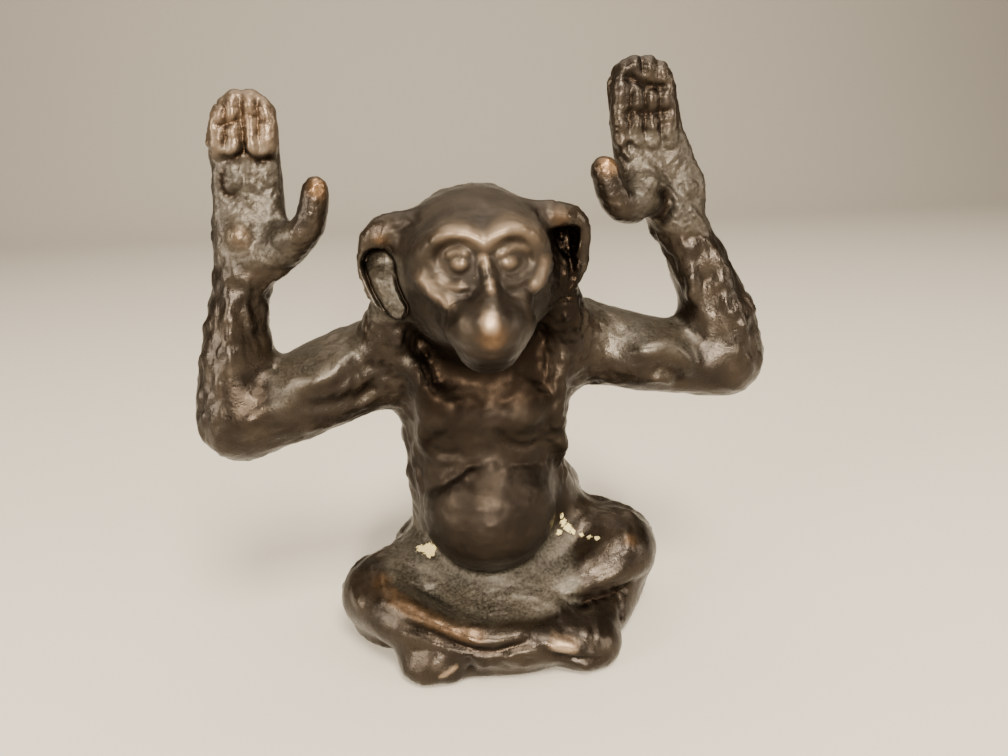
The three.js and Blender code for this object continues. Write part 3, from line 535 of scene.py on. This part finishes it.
shoulders = clay.inside((-18, -16, 30), (16, 6, 60), 2) * front
LEFT_ROPE = [(-15, 55), (-13, 52), (-11, 48.8), (-9.9, 46.5), (-8.7, 44.3), (-7.4, 42.4)]
RIGHT_ROPE = [(9.5, 48), (9.7, 45.6), (9.8, 42.2), (9.7, 39.2), (9.4, 36)]
clay.stroke(LEFT_ROPE, 3.4, 0.5, shoulders, uneven=0.7)
clay.stroke(RIGHT_ROPE, 2, 0.3, shoulders, uneven=0.7)
clay.set()
clay.relax(8, clay.inside((-13, -16, 48), (-5, 2, 59), 2) * front)


# Lap, legs and feet
# The left shin crosses in front as a rubbed crest over a round heel. The lap between it and the
# belly is rough from the mould, and the right knee overhangs a deep groove.

low = clay.inside((-32, -30, -3), (32, 8, 22))
upward = clay.facing((0, -0.6, 0.8), -0.1, 0.3)
lap = low * upward
crest_y = np.interp(clay.points[:, 0], [-20, -15.8, -11.3, -7, -2, 6, 12],
                    [-4, -10.1, -13.5, -16.1, -17, -15, -12])
seat = lap * clay.inside((-17, -15, 8), (11.5, 6, 16), 2.5) * ramp(clay.points[:, 1] - crest_y, 0.5, 2.5)
shins = low * front
UNDER_SHIN = [(-16.7, 9), (-13.7, 9.2), (-11.1, 8.9), (-8.9, 8.2), (-6.7, 7.6), (-4.6, 6.9), (-2, 6.7),
              (0.3, 7.2), (3, 7.6), (5, 7.9)]
LEG_LINES = [
    ([(-20.4, 13), (-18.2, 12.3), (-15.8, 11.7), (-13.6, 11), (-11.3, 10.3), (-9.1, 9.7), (-7, 9.1),
      (-4.8, 8.9), (-2.2, 8.7), (0.5, 8.7), (2.8, 8.6), (5.4, 8.4)], 2.6, 0.55),
    (UNDER_SHIN, 2, -0.65),
    ([(-14.7, 5.7), (-12, 6.4), (-9, 6.4)], 1, -0.22),
    ([(-10.2, 2.8), (-8.9, 3.3), (-7.8, 4)], 1.3, 0.25),
    ([(-6.3, 6.2), (-5.7, 4.4), (-5.6, 2.4)], 1.6, -0.45),
    ([(-2, 6), (-1.2, 4.6), (0.2, 3)], 1.4, -0.3),
    ([(1, 6.2), (2.6, 5.2), (4.4, 4.4)], 1.4, -0.3),
    ([(5.6, 8.1), (6.6, 6.8), (8.4, 5.8), (10.4, 5.1), (12, 4.8)], 2.4, 0.35),
    ([(5.2, 7.4), (5.9, 5.8), (7.9, 4.4), (10.3, 3.6), (13.3, 3.3), (15.8, 2.9)], 1.3, -0.6),
    ([(8.4, 7.6), (10, 6.6), (11.6, 5.5)], 1.1, -0.3),
    ([(9.1, 9.1), (10.7, 8.5), (12.8, 8.1), (15.5, 7.8), (18.2, 7.6), (21, 7.8), (22.9, 9.4)], 1.8, -0.65),
    ([(9.8, 10), (12.9, 9.8), (16.3, 10.4), (18.9, 11.1), (21.5, 12.3)], 2.2, 0.4),
    ([(21.5, 17.2), (21.8, 15.8), (21.6, 13.8)], 2.4, 0.35),
    ([(9, 9.2), (8.8, 8.6), (8.7, 8)], 0.9, 0.3),
    ([(19.3, 7), (19.6, 5.6), (19.7, 4)], 1.6, -0.4),
]
LEG_LUMPS = [
    (-18.6, 12.5, 2.2, 0.35), (-20.4, 13.3, 2, 0.25), (-11, 5, 6, 0.4), (-3.6, 4, 2, 0.3),
    (2.5, 3.6, 2.2, 0.3), (12.6, 6.4, 2.2, 0.3), (14.4, 5.8, 2.2, 0.25), (-22.8, 10, 3, 0.3),
    (14.6, 7, 2, 0.2), (12.1, 1.8, 2.4, 0.25),
]
for line, width, height in LEG_LINES:
    clay.stroke(line, width * 1.25, height, shins, taper=0.15, uneven=0.2)
clay.relax(2, shins)
for x, z, size, height in LEG_LUMPS:
    clay.lump((x, z), size, height, shins)
clay.set()


# Fur
# Short fur covers the arms, shoulders, back and thighs. It lies along the limbs in low soft tufts,
# lumpy on the shoulders and longer down the back, and was pressed into the wax with a blunt tool.

def beside(bone):
    """The distance of each point from a bone, and the bone's direction."""
    start, end = (np.array(p, float) for p in bone)
    along = end - start
    t = np.clip((clay.points - start) @ along / (along @ along), 0, 1)
    return np.linalg.norm(clay.points - start - t[:, None] * along, axis=1), along / np.linalg.norm(along)


# Each bone has its ends, then the length, width and height of the tufts that lie along it.
COATS = [
    ((-33.9, 0, 68), (-37.6, 0, 42), 3.4, 1.4, 0.2),
    ((-16, 3, 47.5), (-36, 0, 40), 3.8, 1.9, 0.08),
    ((28.4, 0, 69), (37.8, 0, 46), 3.4, 1.4, 0.2),
    ((15.5, 3, 48.2), (36, 0, 44), 3.8, 1.9, 0.08),
    ((-13, -5, 59), (-16, -3, 50), 2.6, 1.5, 0.14),
    ((10, -5, 60), (13.5, -3, 50), 2.6, 1.5, 0.14),
    ((-8, 10, 52), (-9, 12, 8), 5, 2, 0.34),
    ((7, 10, 52), (8, 12, 8), 5, 2, 0.34),
    ((-2, -6, 75), (-1, 6, 56), 4, 1.7, 0.14),
    ((-9, 6, 5.8), (-20, 0, 6), 4.4, 1.9, 0.22),
    ((8, 9, 9), (22, 2, 9), 4.4, 1.9, 0.22),
]

# The nearest bones set how the fur lies at a point, and how large its tufts are.
weights = []
lies = []
for start, end, *_ in COATS:
    away, lie = beside((start, end))
    weights.append(1 / (away ** 2 + 6) ** 3)
    lies.append(lie)
weights = np.array(weights)
weights /= weights.sum(0)
lie = weights.T @ np.array(lies)
lie -= clay.normals * np.einsum("ij,ij->i", lie, clay.normals)[:, None]
lie /= np.linalg.norm(lie, axis=1)[:, None] + 1e-9
sizes = weights.T @ np.array([coat[2:] for coat in COATS])

bare = np.maximum.reduce([
    clay.inside((-13, -40, 50), (9, -12, 80), 2.5),
    clay.inside((-18, -22, 56), (6, 6, 74), 2) * front,
    clay.inside((5, -22, 67), (15, 6, 74), 1.5) * front,
    np.maximum(left_palm, clay.inside((-27, -12, 66), (-17, 4, 92), 2)),
    np.maximum(right_palm, clay.inside((14, -12, 66), (22, 4, 80), 2)),
    clay.inside((-9.4, -20, 10), (8.6, -1, 44), 2.5) * front,
    clay.inside((-5, -20, 40), (6, -1, 56), 3) * front,
    clay.inside((-32, -30, -3), (32, -2, 20), 3),
    clay.inside((-14, -8, 8), (16, 4, 22), 3) * upward,
    1 - ramp(clay.points[:, 2], 0.3, 2),
])

# The crooks of the arms are nearly smooth.
crooks = np.maximum(clay.inside((-37.5, -20, 42), (-25, 4, 50), 3),
                    clay.inside((24, -20, 42), (35, 4, 52), 3))
fur = (1 - bare) * (1 - 0.95 * crooks)

# Tufts are pressed at random places, so thickly that about two of them cover each point.
tree = kdtree.KDTree(len(clay.points))
for i, point in enumerate(clay.points):
    tree.insert(point, i)
tree.balance()
areas = np.zeros(len(clay.points))
for polygon in monkey.data.polygons:
    for i in polygon.vertices:
        areas[i] += polygon.area * 1e6 / len(polygon.vertices)
TUFT_LAYERS = 2.2
dice = np.random.default_rng(11)
odds = fur * areas * TUFT_LAYERS / (sizes[:, 0] * sizes[:, 1])
coat_height = np.zeros(len(clay.points))
for i in np.flatnonzero(dice.random(len(odds)) < odds):
    length, width, height = sizes[i] * dice.uniform(0.65, 1.35, 3)
    lean = dice.normal(0, 0.2)
    side = np.cross(clay.normals[i], lie[i])
    run = lie[i] * math.cos(lean) + side * math.sin(lean)
    side = np.cross(clay.normals[i], run)
    near = np.array([n for _, n, _ in tree.find_range(clay.points[i], length * 0.6)])
    gap = clay.points[near] - clay.points[i]
    along = gap @ run / (length * 0.5)
    across = gap @ side / (width * 0.6)
    form = height * np.clip(1 - along ** 2, 0, 1) * np.clip(1 - across ** 2, 0, 1) ** 2
    coat_height[near] += form * ramp(clay.normals[near] @ clay.normals[i], 0.2, 0.6)
coat_height -= coat_height[fur > 0.5].mean()
clay.push(coat_height * fur)
clay.set()

# The fur of the neck and the ropes of hair beside the chest are rougher.
ruff = np.maximum(ruff, clay.inside((-17, -14, 46), (-9, 4, 58), 3) * front * 0.8)
ruff = np.maximum(ruff, clay.inside((8, -14, 30), (17, 2, 58), 2.5) * front * 0.8)
clay.push(ruff * (0.15 * clay.grain(1.8) + 0.12 * clay.grain(0.9)))
clay.set()


# Cast skin
# The mould left a fine, uneven grain on the metal, coarser in the lap and on the palms. The foot
# of the casting is flat, and no grain stands out of the solid's box.

rough = np.maximum.reduce([left_palm, right_palm, seat])
clay.push(0.08 * clay.grain(2.4) + 0.025 * clay.grain(0.9) + 0.09 * rough * clay.grain(0.75))
clay.push(0.05 * fur * clay.grain(1.5))
clay.push(torso * (0.09 * clay.grain(3) + 0.04 * clay.grain(1.1)))
clay.set()
low_corner, high_corner = (np.array(corner) * 1000 for corner in cad_box)
clay.points[:, 2] = np.maximum(clay.points[:, 2], 0)
clay.points = np.clip(clay.points, low_corner, high_corner)
clay.set()
for polygon in monkey.data.polygons:
    polygon.use_smooth = True


# Patina
# Dark brown patina over the bronze, waxed, with painted shade in the hollows and under the head,
# rubbed through to warm metal and with painted highlights on the high places, dusty in the lap, with
# dust and painted sheen on the palms, and a few cream crumbs of old paste.

def keep(name, values, kind="FLOAT"):
    """Stores a value for each point on the mesh, for the material to read."""
    layer = monkey.data.attributes.new(name, kind, "POINT")
    layer.data.foreach_set("value" if kind == "FLOAT" else "vector", values.astype(np.float32).ravel())


def relief(rounds):
    """How far each point stands out of the smoothed skin."""
    smoothed = clay.points.copy()
    for _ in range(rounds):
        smoothed += 0.6 * (clay.around(smoothed) - smoothed)
    return np.einsum("ij,ij->i", clay.points - smoothed, clay.normals)


def drawn(line, reach, taper=0.2):
    """1 along a line drawn on the front, fading out to its reach."""
    share = np.zeros(len(clay.points))
    which, off, strength = clay.off_line(line, reach, taper)
    share[which] = strength * (1 - np.clip(off / reach, 0, 1) ** 2) ** 2
    return share * front


def spots(places):
    """1 at the middle of each round place, fading out to its radius."""
    best = np.zeros(len(clay.points))
    for centre, radius, strength in places:
        away = np.linalg.norm(clay.points - np.array(centre), axis=1)
        best = np.maximum(best, strength * np.exp(-(away / (radius * 0.55)) ** 2))
    return best


# Painted shade: the patina is made darker where shade falls, under the chin, on the chest, beside
# the jaw, in the right ear and the gap of the left one, in the left crook, under the shin and in
# the grooves of the hands. Each box has its strength, corners and softness.
front = clay.facing((0, -1, 0), -0.15, 0.25)
SHADE_BOXES = [
    (0.6, (-12, -30, 52), (-6, -12, 61.3), 1.2), (0.6, (4, -30, 52), (8, -12, 61.5), 1.2),
    (0.9, (7.6, -22, 57), (12, 2, 67.6), 1), (0.7, (5, -22, 52), (12.6, 2, 60), 2),
    (0.7, (-12.5, -16, 50), (-6, 2, 58.5), 1.5), (0.6, (-37, -20, 42.5), (-33.5, 4, 46.5), 2.5),
]
shade_and_patina_parts = [strength * clay.inside(low, high, soft) * front for strength, low, high, soft in SHADE_BOXES]
# The whole front of the torso is darker as well.
shade_and_patina_parts.append(0.5 * torso)
shade_and_patina_parts.append(0.95 * clay.inside((-8.5, -20, 43), (8, 2, 57), 6) * front * (1 - face))
shade_and_patina_parts.append(0.8 * face * (1 - ramp(clay.points[:, 2], 54.5, 57.5)))
shade_and_patina_parts.append(0.8 * drawn(UNDER_SHIN, 1.5))
shade_and_patina_parts.append(ear_gap)
hand_lines = LEFT_LINES + RIGHT_LINES
grooves = np.maximum.reduce([drawn(line, width * 0.5) for line, width, height in hand_lines if height < 0])
shade_and_patina_parts.append(0.9 * grooves)
# Hollows of the skin are darker too: patina settled in them, with painted shade.
shade_and_patina_parts.append(0.4 * ramp(-relief(8), 0.03, 0.16) + 0.6 * ramp(-relief(60), 0.1, 0.8))
keep("hollow", np.maximum.reduce(shade_and_patina_parts))

# Handling has rubbed the patina through to warm metal on the crest of the shin, the nose, the
# thumbs, the corners of the ears, the knees, the fingers and the ball of the left hand, and the same
# warm colour is painted there as highlights, and under the nose as a painted warm reflection. Each
# spot has its centre, radius and strength.
CREST = [(-20, 13), (-15.8, 11.7), (-11.3, 10.3), (-7, 9.1), (-2, 8.7)]
WEAR_AND_HIGHLIGHT_SPOTS = [
    ((-1.7, -29.5, 57.8), 2.8, 0.5), ((-21.7, -7.5, 74.4), 2.4, 0.8), ((17, -7.8, 76), 2.2, 0.8),
    ((9.2, -12.3, 69.4), 2, 0.2), ((-14.2, -11.7, 67.5), 1.4, 0.3), ((22.2, -5.2, 15.6), 1.6, 0.3),
    ((-31.5, -4, 83), 7, 0.1), ((-33.6, -5, 68), 3, 0.2), ((23, -6, 87.5), 2.6, 0.15),
    ((-18.6, -6, 12.6), 2.4, 0.3),
]
crest = 0.2 * drawn(CREST, 1.3) * (clay.points[:, 1] < crest_y + 1.5)
keep("wear_and_highlight", np.maximum(crest, spots(WEAR_AND_HIGHLIGHT_SPOTS)))

# Dust lies in the lap and in the left ear. On the palms and on top of the upper arms the same pale
# colour is partly dust and partly painted sheen.
on_top = clay.facing((0, -0.5, 0.85), 0.3, 0.9)
keep("dust_and_sheen", np.maximum.reduce([
    0.6 * seat,
    0.5 * clay.inside((-17, -16, 56), (-12, -6, 65), 1) * front * (1 - ear_gap),
    0.3 * (1 - grooves) * left_palm * clay.inside((-40, -12, 64), (-27, 4, 79), 1.5),
    0.35 * (1 - grooves) * right_palm * clay.inside((21.5, -12, 66), (34, 4, 79), 1.5),
    0.4 * on_top * clay.inside((-31, -14, 42), (-13, 8, 59), 2),
    0.4 * on_top * clay.inside((13, -14, 44), (31, 8, 57), 2),
]))

# Painted highlights, with some polish from wear, on small places: a facet of the right foot, the
# heel, the ridges of the face, the eyes, the nose and the left fingers. Each line has its reach,
# strength and taper.
FACET = [(6.2, 7.8), (7.4, 6.7), (9.2, 5.8), (11.2, 5.1)]
HEEL = [(-10.6, 2.6), (-8.9, 3.3), (-7.6, 4.1)]
POLISH_AND_HIGHLIGHT_LINES = [
    (FACET, 1.2, 1, 0.35), (HEEL, 0.55, 0.6, 0.2), (BROW[2:14], 1.6, 0.22, 0.2), (CHEEK, 1.2, 0.16, 0.2),
    (RIGHT_CHEEK, 1.2, 0.16, 0.2), (BAG, 0.9, 0.1, 0.2), (LIDS[0], 0.8, 0.1, 0.2), (LIDS[1], 0.8, 0.1, 0.2),
    ([(-2, 66.8), (-1.8, 66)], 0.8, 0.25, 0), ([(-1.3, 63.9), (-1.3, 63.3)], 0.8, 0.25, 0),
    ([(-1.9, 60.4), (-1.8, 59.7)], 1.4, 0.45, 0),
]
# A painted glint on each eye.
for x, z in EYES:
    POLISH_AND_HIGHLIGHT_LINES.append(([(x - 0.2, z), (x + 0.2, z)], 1, 0.25, 0))
polish_and_highlight = [strength * drawn(line, reach, taper) for line, reach, strength, taper in POLISH_AND_HIGHLIGHT_LINES]
# The left fingers are painted lighter, as painted light.
polish_and_highlight.append(0.13 * (1 - grooves) * left_palm * clay.inside((-40, -12, 79), (-26, 4, 92), 1.5))
keep("polish_and_highlight", np.maximum.reduce(polish_and_highlight))

PASTE_CRUMBS = [
    ((-11.2, -0.3, 14.4), 2.5, 1), ((-10.8, -1, 13.8), 1.8, 1), ((-12.3, 0.3, 14.2), 1.7, 1),
    ((-10.2, -0.6, 14.6), 1.5, 1), ((11.5, -0.7, 18.8), 1.1, 1), ((11.7, -0.9, 17.6), 1.5, 1),
    ((12.5, -0.9, 16.6), 1.7, 1), ((13.3, -1.2, 15.9), 1.3, 1), ((10.9, -1.4, 16), 1.3, 1),
    ((14.7, -1.6, 15.4), 1, 1), ((15.8, -2.6, 15.3), 1, 1), ((16.9, -3.5, 15.6), 1.1, 1),
    ((-3.2, -23.4, 64.4), 0.5, 0.9), ((2.5, -16.7, 71.6), 0.5, 0.9), ((11.2, -11.2, 63.9), 0.55, 0.9),
    ((11.1, -11.4, 62.4), 0.6, 0.9),
]
keep("paste", spots(PASTE_CRUMBS))

# Soft streaks, with their length, width and depth in mm, follow the nearest bones and slant across
# the palms. They fade out along the seams where one bone's streaks meet another's.
STREAK = (1.5, 0.7, 0.7)
PALM_STREAK = (1.1, 0.6, 0.6)
SLANT = np.array([[0.71, 0, 0.71], [-0.71, 0, 0.71], [0, 1, 0]])
FADE_STEPS = 8
order = np.argsort(-weights, axis=0)
palm = (left_palm + right_palm) > 0.5
order[:, palm] = len(COATS)
rows = np.arange(len(clay.points))
for rank, name in ((0, "nap_near"), (1, "nap_next")):
    places = np.zeros((len(rows), 3))
    for index, (start, end, *_) in enumerate(COATS):
        chosen = order[rank] == index
        along = np.subtract(end, start) / np.linalg.norm(np.subtract(end, start))
        side = np.cross(along, (0, 1, 0.1))
        side /= np.linalg.norm(side)
        turn = np.stack([along, side, np.cross(side, along)], axis=1)
        places[chosen] = (clay.points[chosen] - start) @ turn / STREAK
    places[palm] = clay.points[palm] @ SLANT.T / PALM_STREAK
    keep(name, places, "FLOAT_VECTOR")
a, b = clay.pairs.T
differs = np.any(order[:2, a] != order[:2, b], axis=0)
seam = np.zeros(len(rows))
seam[a[differs]] = 1
seam[b[differs]] = 1
faded = seam.copy()
for _ in range(FADE_STEPS):
    faded = np.maximum(seam, clay.around(faded))
first, second = (weights[np.minimum(order[rank], len(COATS) - 1), rows] for rank in (0, 1))
keep("nap_share", second / (first + second))
keep("nap", np.clip(fur + 0.8 * (left_palm + right_palm), 0, 1) * (1 - faded))

# The bare face, neck and body are smoother than the fur, and the palms a little.
neck = clay.inside((-12, -16, 46), (10, 2, 60), 3) * front * (1 - face)
keep("grainy", 1 - 0.85 * face - 0.8 * np.maximum(torso, neck) - 0.3 * np.maximum(left_palm, right_palm))


def linear(hex_value):
    """An sRGB hex value as linear red, green, blue and alpha."""
    parts = [int(hex_value[i:i + 2], 16) / 255 for i in (1, 3, 5)]
    return [v / 12.92 if v < 0.04045 else ((v + 0.055) / 1.055) ** 2.4 for v in parts] + [1.0]


def node(tree, kind, inputs=None, **settings):
    """Adds a node with its settings; each input takes a socket to link or a value to hold."""
    added = tree.nodes.new(kind)
    for name, value in settings.items():
        setattr(added, name, value)
    for name, value in (inputs or {}).items():
        if isinstance(value, bpy.types.NodeSocket):
            tree.links.new(value, added.inputs[name])
        else:
            added.inputs[name].default_value = value
    return added


# Waxed brown patina: a dark satin skin with pale, broken highlights, some of them painted, and
# nearly black painted shade in the hollows that reflects little. Its clouds of lighter brown,
# blotches and cast grains are so many mm across.
CLOUD_SIZE = 5
BLOTCH_SIZE = 1.2048
GRAIN_SIZE = 0.45455

bronze = bpy.data.materials.new("patinated_bronze")
bronze.use_nodes = True
nodes = bronze.node_tree
shader = nodes.nodes["Principled BSDF"]
ATTRIBUTES = ("hollow", "wear_and_highlight", "dust_and_sheen", "polish_and_highlight", "paste", "nap", "nap_share", "grainy")
value = {name: node(nodes, "ShaderNodeAttribute", attribute_name=name).outputs["Fac"] for name in ATTRIBUTES}
place = node(nodes, "ShaderNodeTexCoord").outputs["Object"]
mm = node(nodes, "ShaderNodeVectorMath", {0: place, 1: (1000, 1000, 1000)}, operation="MULTIPLY")
mm = mm.outputs["Vector"]

cloud = node(nodes, "ShaderNodeTexNoise", {"Vector": mm, "Scale": 1 / CLOUD_SIZE, "Detail": 3.0})
blotch = node(nodes, "ShaderNodeTexNoise", {"Vector": mm, "Scale": 1 / BLOTCH_SIZE, "Detail": 4.0})
blotch = blotch.outputs["Fac"]
grains = node(nodes, "ShaderNodeTexNoise",
              {"Vector": mm, "Scale": 1 / GRAIN_SIZE, "Detail": 4.0, "Roughness": 0.65})
grains = grains.outputs["Fac"]
cloud = node(nodes, "ShaderNodeMapRange",
             {"Value": cloud.outputs["Fac"], "From Min": 0.35, "From Max": 0.65},
             interpolation_type="SMOOTHSTEP").outputs["Result"]
brown = node(nodes, "ShaderNodeMix", {0: cloud, 6: linear("#1c150e"), 7: linear("#2b231a")},
             data_type="RGBA").outputs[2]
# Painted shade: the patina turns nearly black in the hollows, the creases and under the head.
brown = node(nodes, "ShaderNodeMix", {0: value["hollow"], 6: brown, 7: linear("#17110c")},
             data_type="RGBA").outputs[2]

# Bare metal and painted highlights show on the rubbed places, broken up by the blotches.
broken = node(nodes, "ShaderNodeMapRange",
              {"Value": blotch, "From Min": 0.35, "From Max": 0.65, "To Min": 0.5}).outputs["Result"]
wear_and_highlight_share = node(nodes, "ShaderNodeMath", {0: broken, 1: value["wear_and_highlight"]}, operation="MULTIPLY").outputs["Value"]
metal = node(nodes, "ShaderNodeMix", {0: wear_and_highlight_share, 6: brown, 7: linear("#9a7653")}, data_type="RGBA").outputs[2]
# Painted highlights and polish take a pale warm colour.
metal = node(nodes, "ShaderNodeMix", {0: value["polish_and_highlight"], 6: metal, 7: linear("#b39a81")},
             data_type="RGBA").outputs[2]

# Dust and painted sheen sit between the grains, and crumbs of paste have ragged edges.
settled = node(nodes, "ShaderNodeMapRange",
               {"Value": grains, "From Min": 0.25, "From Max": 0.75}).outputs["Result"]
dust_and_sheen_share = node(nodes, "ShaderNodeMath", {0: settled, 1: value["dust_and_sheen"]}, operation="MULTIPLY").outputs["Value"]
dust_and_sheen_colour = node(nodes, "ShaderNodeMix", {0: dust_and_sheen_share, 6: metal, 7: linear("#4f4b40")}, data_type="RGBA").outputs[2]
ragged = node(nodes, "ShaderNodeMath", {0: grains, 1: 1.6, 2: value["paste"]}, operation="MULTIPLY_ADD")
crumb = node(nodes, "ShaderNodeMapRange",
             {"Value": ragged.outputs["Value"], "From Min": 1.34, "From Max": 1.42},
             interpolation_type="SMOOTHSTEP").outputs["Result"]
colour = node(nodes, "ShaderNodeMix", {0: crumb, 6: dust_and_sheen_colour, 7: linear("#aa9d6c")}, data_type="RGBA")
nodes.links.new(colour.outputs[2], shader.inputs["Base Color"])

# The patina is partly metallic. Worn metal and painted highlights are fully so, dust, painted sheen
# and paste hardly, and where shade is painted a full metallic share of a nearly black colour leaves
# little reflection.
matt = node(nodes, "ShaderNodeMath", {0: dust_and_sheen_share, 1: crumb}, operation="MAXIMUM").outputs["Value"]
metal_share = node(nodes, "ShaderNodeMath", {0: wear_and_highlight_share, 1: value["polish_and_highlight"]}, operation="MAXIMUM").outputs["Value"]
metal_share = node(nodes, "ShaderNodeMath", {0: metal_share, 1: value["hollow"]}, operation="MAXIMUM").outputs["Value"]
metal_share = node(nodes, "ShaderNodeMapRange", {"Value": metal_share, "To Min": 0.7, "To Max": 1.0}).outputs["Result"]
clean = node(nodes, "ShaderNodeMapRange", {"Value": matt, "To Min": 1.0, "To Max": 0.15}).outputs["Result"]
metallic = node(nodes, "ShaderNodeMath", {0: metal_share, 1: clean}, operation="MULTIPLY").outputs["Value"]
nodes.links.new(metallic, shader.inputs["Metallic"])
satin = node(nodes, "ShaderNodeMapRange",
             {"Value": blotch, "From Min": 0.3, "From Max": 0.7, "To Min": 0.24, "To Max": 0.36})
satin = satin.outputs["Result"]
soft = node(nodes, "ShaderNodeMapRange", {"Value": value["grainy"], "To Min": 0.2, "To Max": 0.0})
soft = soft.outputs["Result"]
satin = node(nodes, "ShaderNodeMath", {0: satin, 1: soft}, operation="ADD").outputs["Value"]
satin = node(nodes, "ShaderNodeMath", {0: matt, 1: 0.35, 2: satin}, operation="MULTIPLY_ADD")
nodes.links.new(satin.outputs["Value"], shader.inputs["Roughness"])

# Heights in mm: brushed streaks of the fur, cast grain, and the thickness of the paste.
STREAK_HEIGHT = 0.1
GRAIN_HEIGHT = 0.06
PASTE_HEIGHT = 0.22
naps = []
for name in ("nap_near", "nap_next"):
    lie_of_fur = node(nodes, "ShaderNodeAttribute", attribute_name=name).outputs["Vector"]
    streaks = node(nodes, "ShaderNodeTexNoise", {"Vector": lie_of_fur, "Scale": 1.0, "Detail": 2.0})
    naps.append(streaks.outputs["Fac"])
streak = node(nodes, "ShaderNodeMix", {0: value["nap_share"], 2: naps[0], 3: naps[1]}).outputs[0]
streak = node(nodes, "ShaderNodeMath", {0: streak, 1: value["nap"]}, operation="MULTIPLY").outputs["Value"]
raised = node(nodes, "ShaderNodeMath", {0: streak, 1: STREAK_HEIGHT}, operation="MULTIPLY").outputs["Value"]
coarse = node(nodes, "ShaderNodeMath", {0: grains, 1: value["grainy"]}, operation="MULTIPLY").outputs["Value"]
raised = node(nodes, "ShaderNodeMath", {0: coarse, 1: GRAIN_HEIGHT, 2: raised}, operation="MULTIPLY_ADD")
raised = node(nodes, "ShaderNodeMath", {0: crumb, 1: PASTE_HEIGHT, 2: raised.outputs["Value"]},
              operation="MULTIPLY_ADD")
bump = node(nodes, "ShaderNodeBump", {"Height": raised.outputs["Value"], "Distance": 0.001})
nodes.links.new(bump.outputs["Normal"], shader.inputs["Normal"])

monkey.data.materials.clear()
monkey.data.materials.append(bronze)
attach(monkey, "root")
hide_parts("monkey_figure")


# Floor
# The figure stands on a wide sheet of matt paper, which lies flat and then sweeps up behind it.
# Sizes of the stage are in metres.

SHEET_HALF = 1.6
SHEET_FRONT = -1.2
SWEEP_START = 0.5
SWEEP_RADIUS = 0.35
SWEEP_STEPS = 16
BACK_HEIGHT = 1.5

sheet = bmesh.new()


def pull(edges, offset):
    """Extrudes edges of the sheet by an offset, and gives back the edges at its new end."""
    grown = bmesh.ops.extrude_edge_only(sheet, edges=edges)["geom"]
    moved = [part for part in grown if isinstance(part, bmesh.types.BMVert)]
    bmesh.ops.translate(sheet, verts=moved, vec=offset)
    return [part for part in grown if isinstance(part, bmesh.types.BMEdge)
            and all(vert in moved for vert in part.verts)]


sides = [sheet.verts.new((x, SHEET_FRONT, 0)) for x in (-SHEET_HALF, SHEET_HALF)]
flat_end = pull([sheet.edges.new(sides)], (0, SWEEP_START - SHEET_FRONT, 0))
swept = bmesh.ops.spin(
    sheet, geom=flat_end + list(flat_end[0].verts), cent=(0, SWEEP_START, SWEEP_RADIUS),
    axis=(1, 0, 0), angle=math.radians(90), steps=SWEEP_STEPS, use_duplicate=False)
pull([part for part in swept["geom_last"] if isinstance(part, bmesh.types.BMEdge)], (0, 0, BACK_HEIGHT))
bmesh.ops.recalc_face_normals(sheet, faces=sheet.faces)
floor_mesh = bpy.data.meshes.new("floor")
sheet.to_mesh(floor_mesh)
sheet.free()
for polygon in floor_mesh.polygons:
    polygon.use_smooth = True
floor = bpy.data.objects.new("floor", floor_mesh)
bpy.context.scene.collection.objects.link(floor)

# Pale uncoated paper, which has no gloss
paper = bpy.data.materials.new("matt_paper")
paper.use_nodes = True
paper_shader = paper.node_tree.nodes["Principled BSDF"]
paper_shader.inputs["Base Color"].default_value = linear("#a8a298")
paper_shader.inputs["Roughness"].default_value = 0.8
floor_mesh.materials.append(paper)
floor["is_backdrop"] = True


# Light
# Warm softboxes in a studio: a key high in front, a small front light for crisp highlights, one on
# each side for the limbs, and a large one overhead. The room itself gives little light.

LIGHT_COLOUR = "#fff3e0"
ROOM_COLOUR = "#b4b4b4"
ROOM_STRENGTH = 0.06
FIGURE_MIDDLE = Vector((0, 0, 0.045))


def softbox(name, place, size, power):
    """A rectangular light of that size and power, turned to the middle of the figure."""
    data = bpy.data.lights.new(name, "AREA")
    data.shape = "RECTANGLE"
    data.size, data.size_y = size
    data.energy = power
    data.color = linear(LIGHT_COLOUR)[:3]
    lamp = bpy.data.objects.new(name, data)
    lamp.location = place
    lamp.rotation_euler = (Vector(place) - FIGURE_MIDDLE).to_track_quat("Z", "Y").to_euler()
    bpy.context.scene.collection.objects.link(lamp)


softbox("key", (0.06, -0.28, 0.5), (0.18, 0.18), 7.6)
softbox("front", (-0.04, -0.6, 0.2), (0.1, 0.1), 12.5)
softbox("left", (-0.44, -0.22, 0.15), (0.16, 0.24), 3.8)
softbox("right", (0.44, -0.24, 0.18), (0.16, 0.24), 2)
softbox("top", (0, 0.08, 0.65), (0.9, 0.6), 7.5)

world = bpy.data.worlds.new("studio")
world.use_nodes = True
world.node_tree.nodes["Background"].inputs["Color"].default_value = linear(ROOM_COLOUR)
world.node_tree.nodes["Background"].inputs["Strength"].default_value = ROOM_STRENGTH
bpy.context.scene.world = world


# Camera
# It stands where the photograph was taken from, about 8 cm in front of the nose and a little above
# the head, and looks down by 19 degrees through a wide lens, with everything in focus.

LENS_MM = 27.04
SENSOR_MM = 36
CAMERA_PLACE = (-0.00922, -0.11165, 0.082)
CAMERA_TURN = (71.08, 1.62, -6.56)

lens = bpy.data.cameras.new("camera")
lens.lens = LENS_MM
lens.sensor_width = SENSOR_MM
lens.clip_start = 0.005
lens.dof.use_dof = False
camera = bpy.data.objects.new("camera", lens)
camera.location = CAMERA_PLACE
camera.rotation_euler = [math.radians(angle) for angle in CAMERA_TURN]
bpy.context.scene.collection.objects.link(camera)
bpy.context.scene.camera = camera

bpy.context.view_layer.update()
sizes = [[list(corner) for corner in box] for box in (cad_box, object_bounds())]
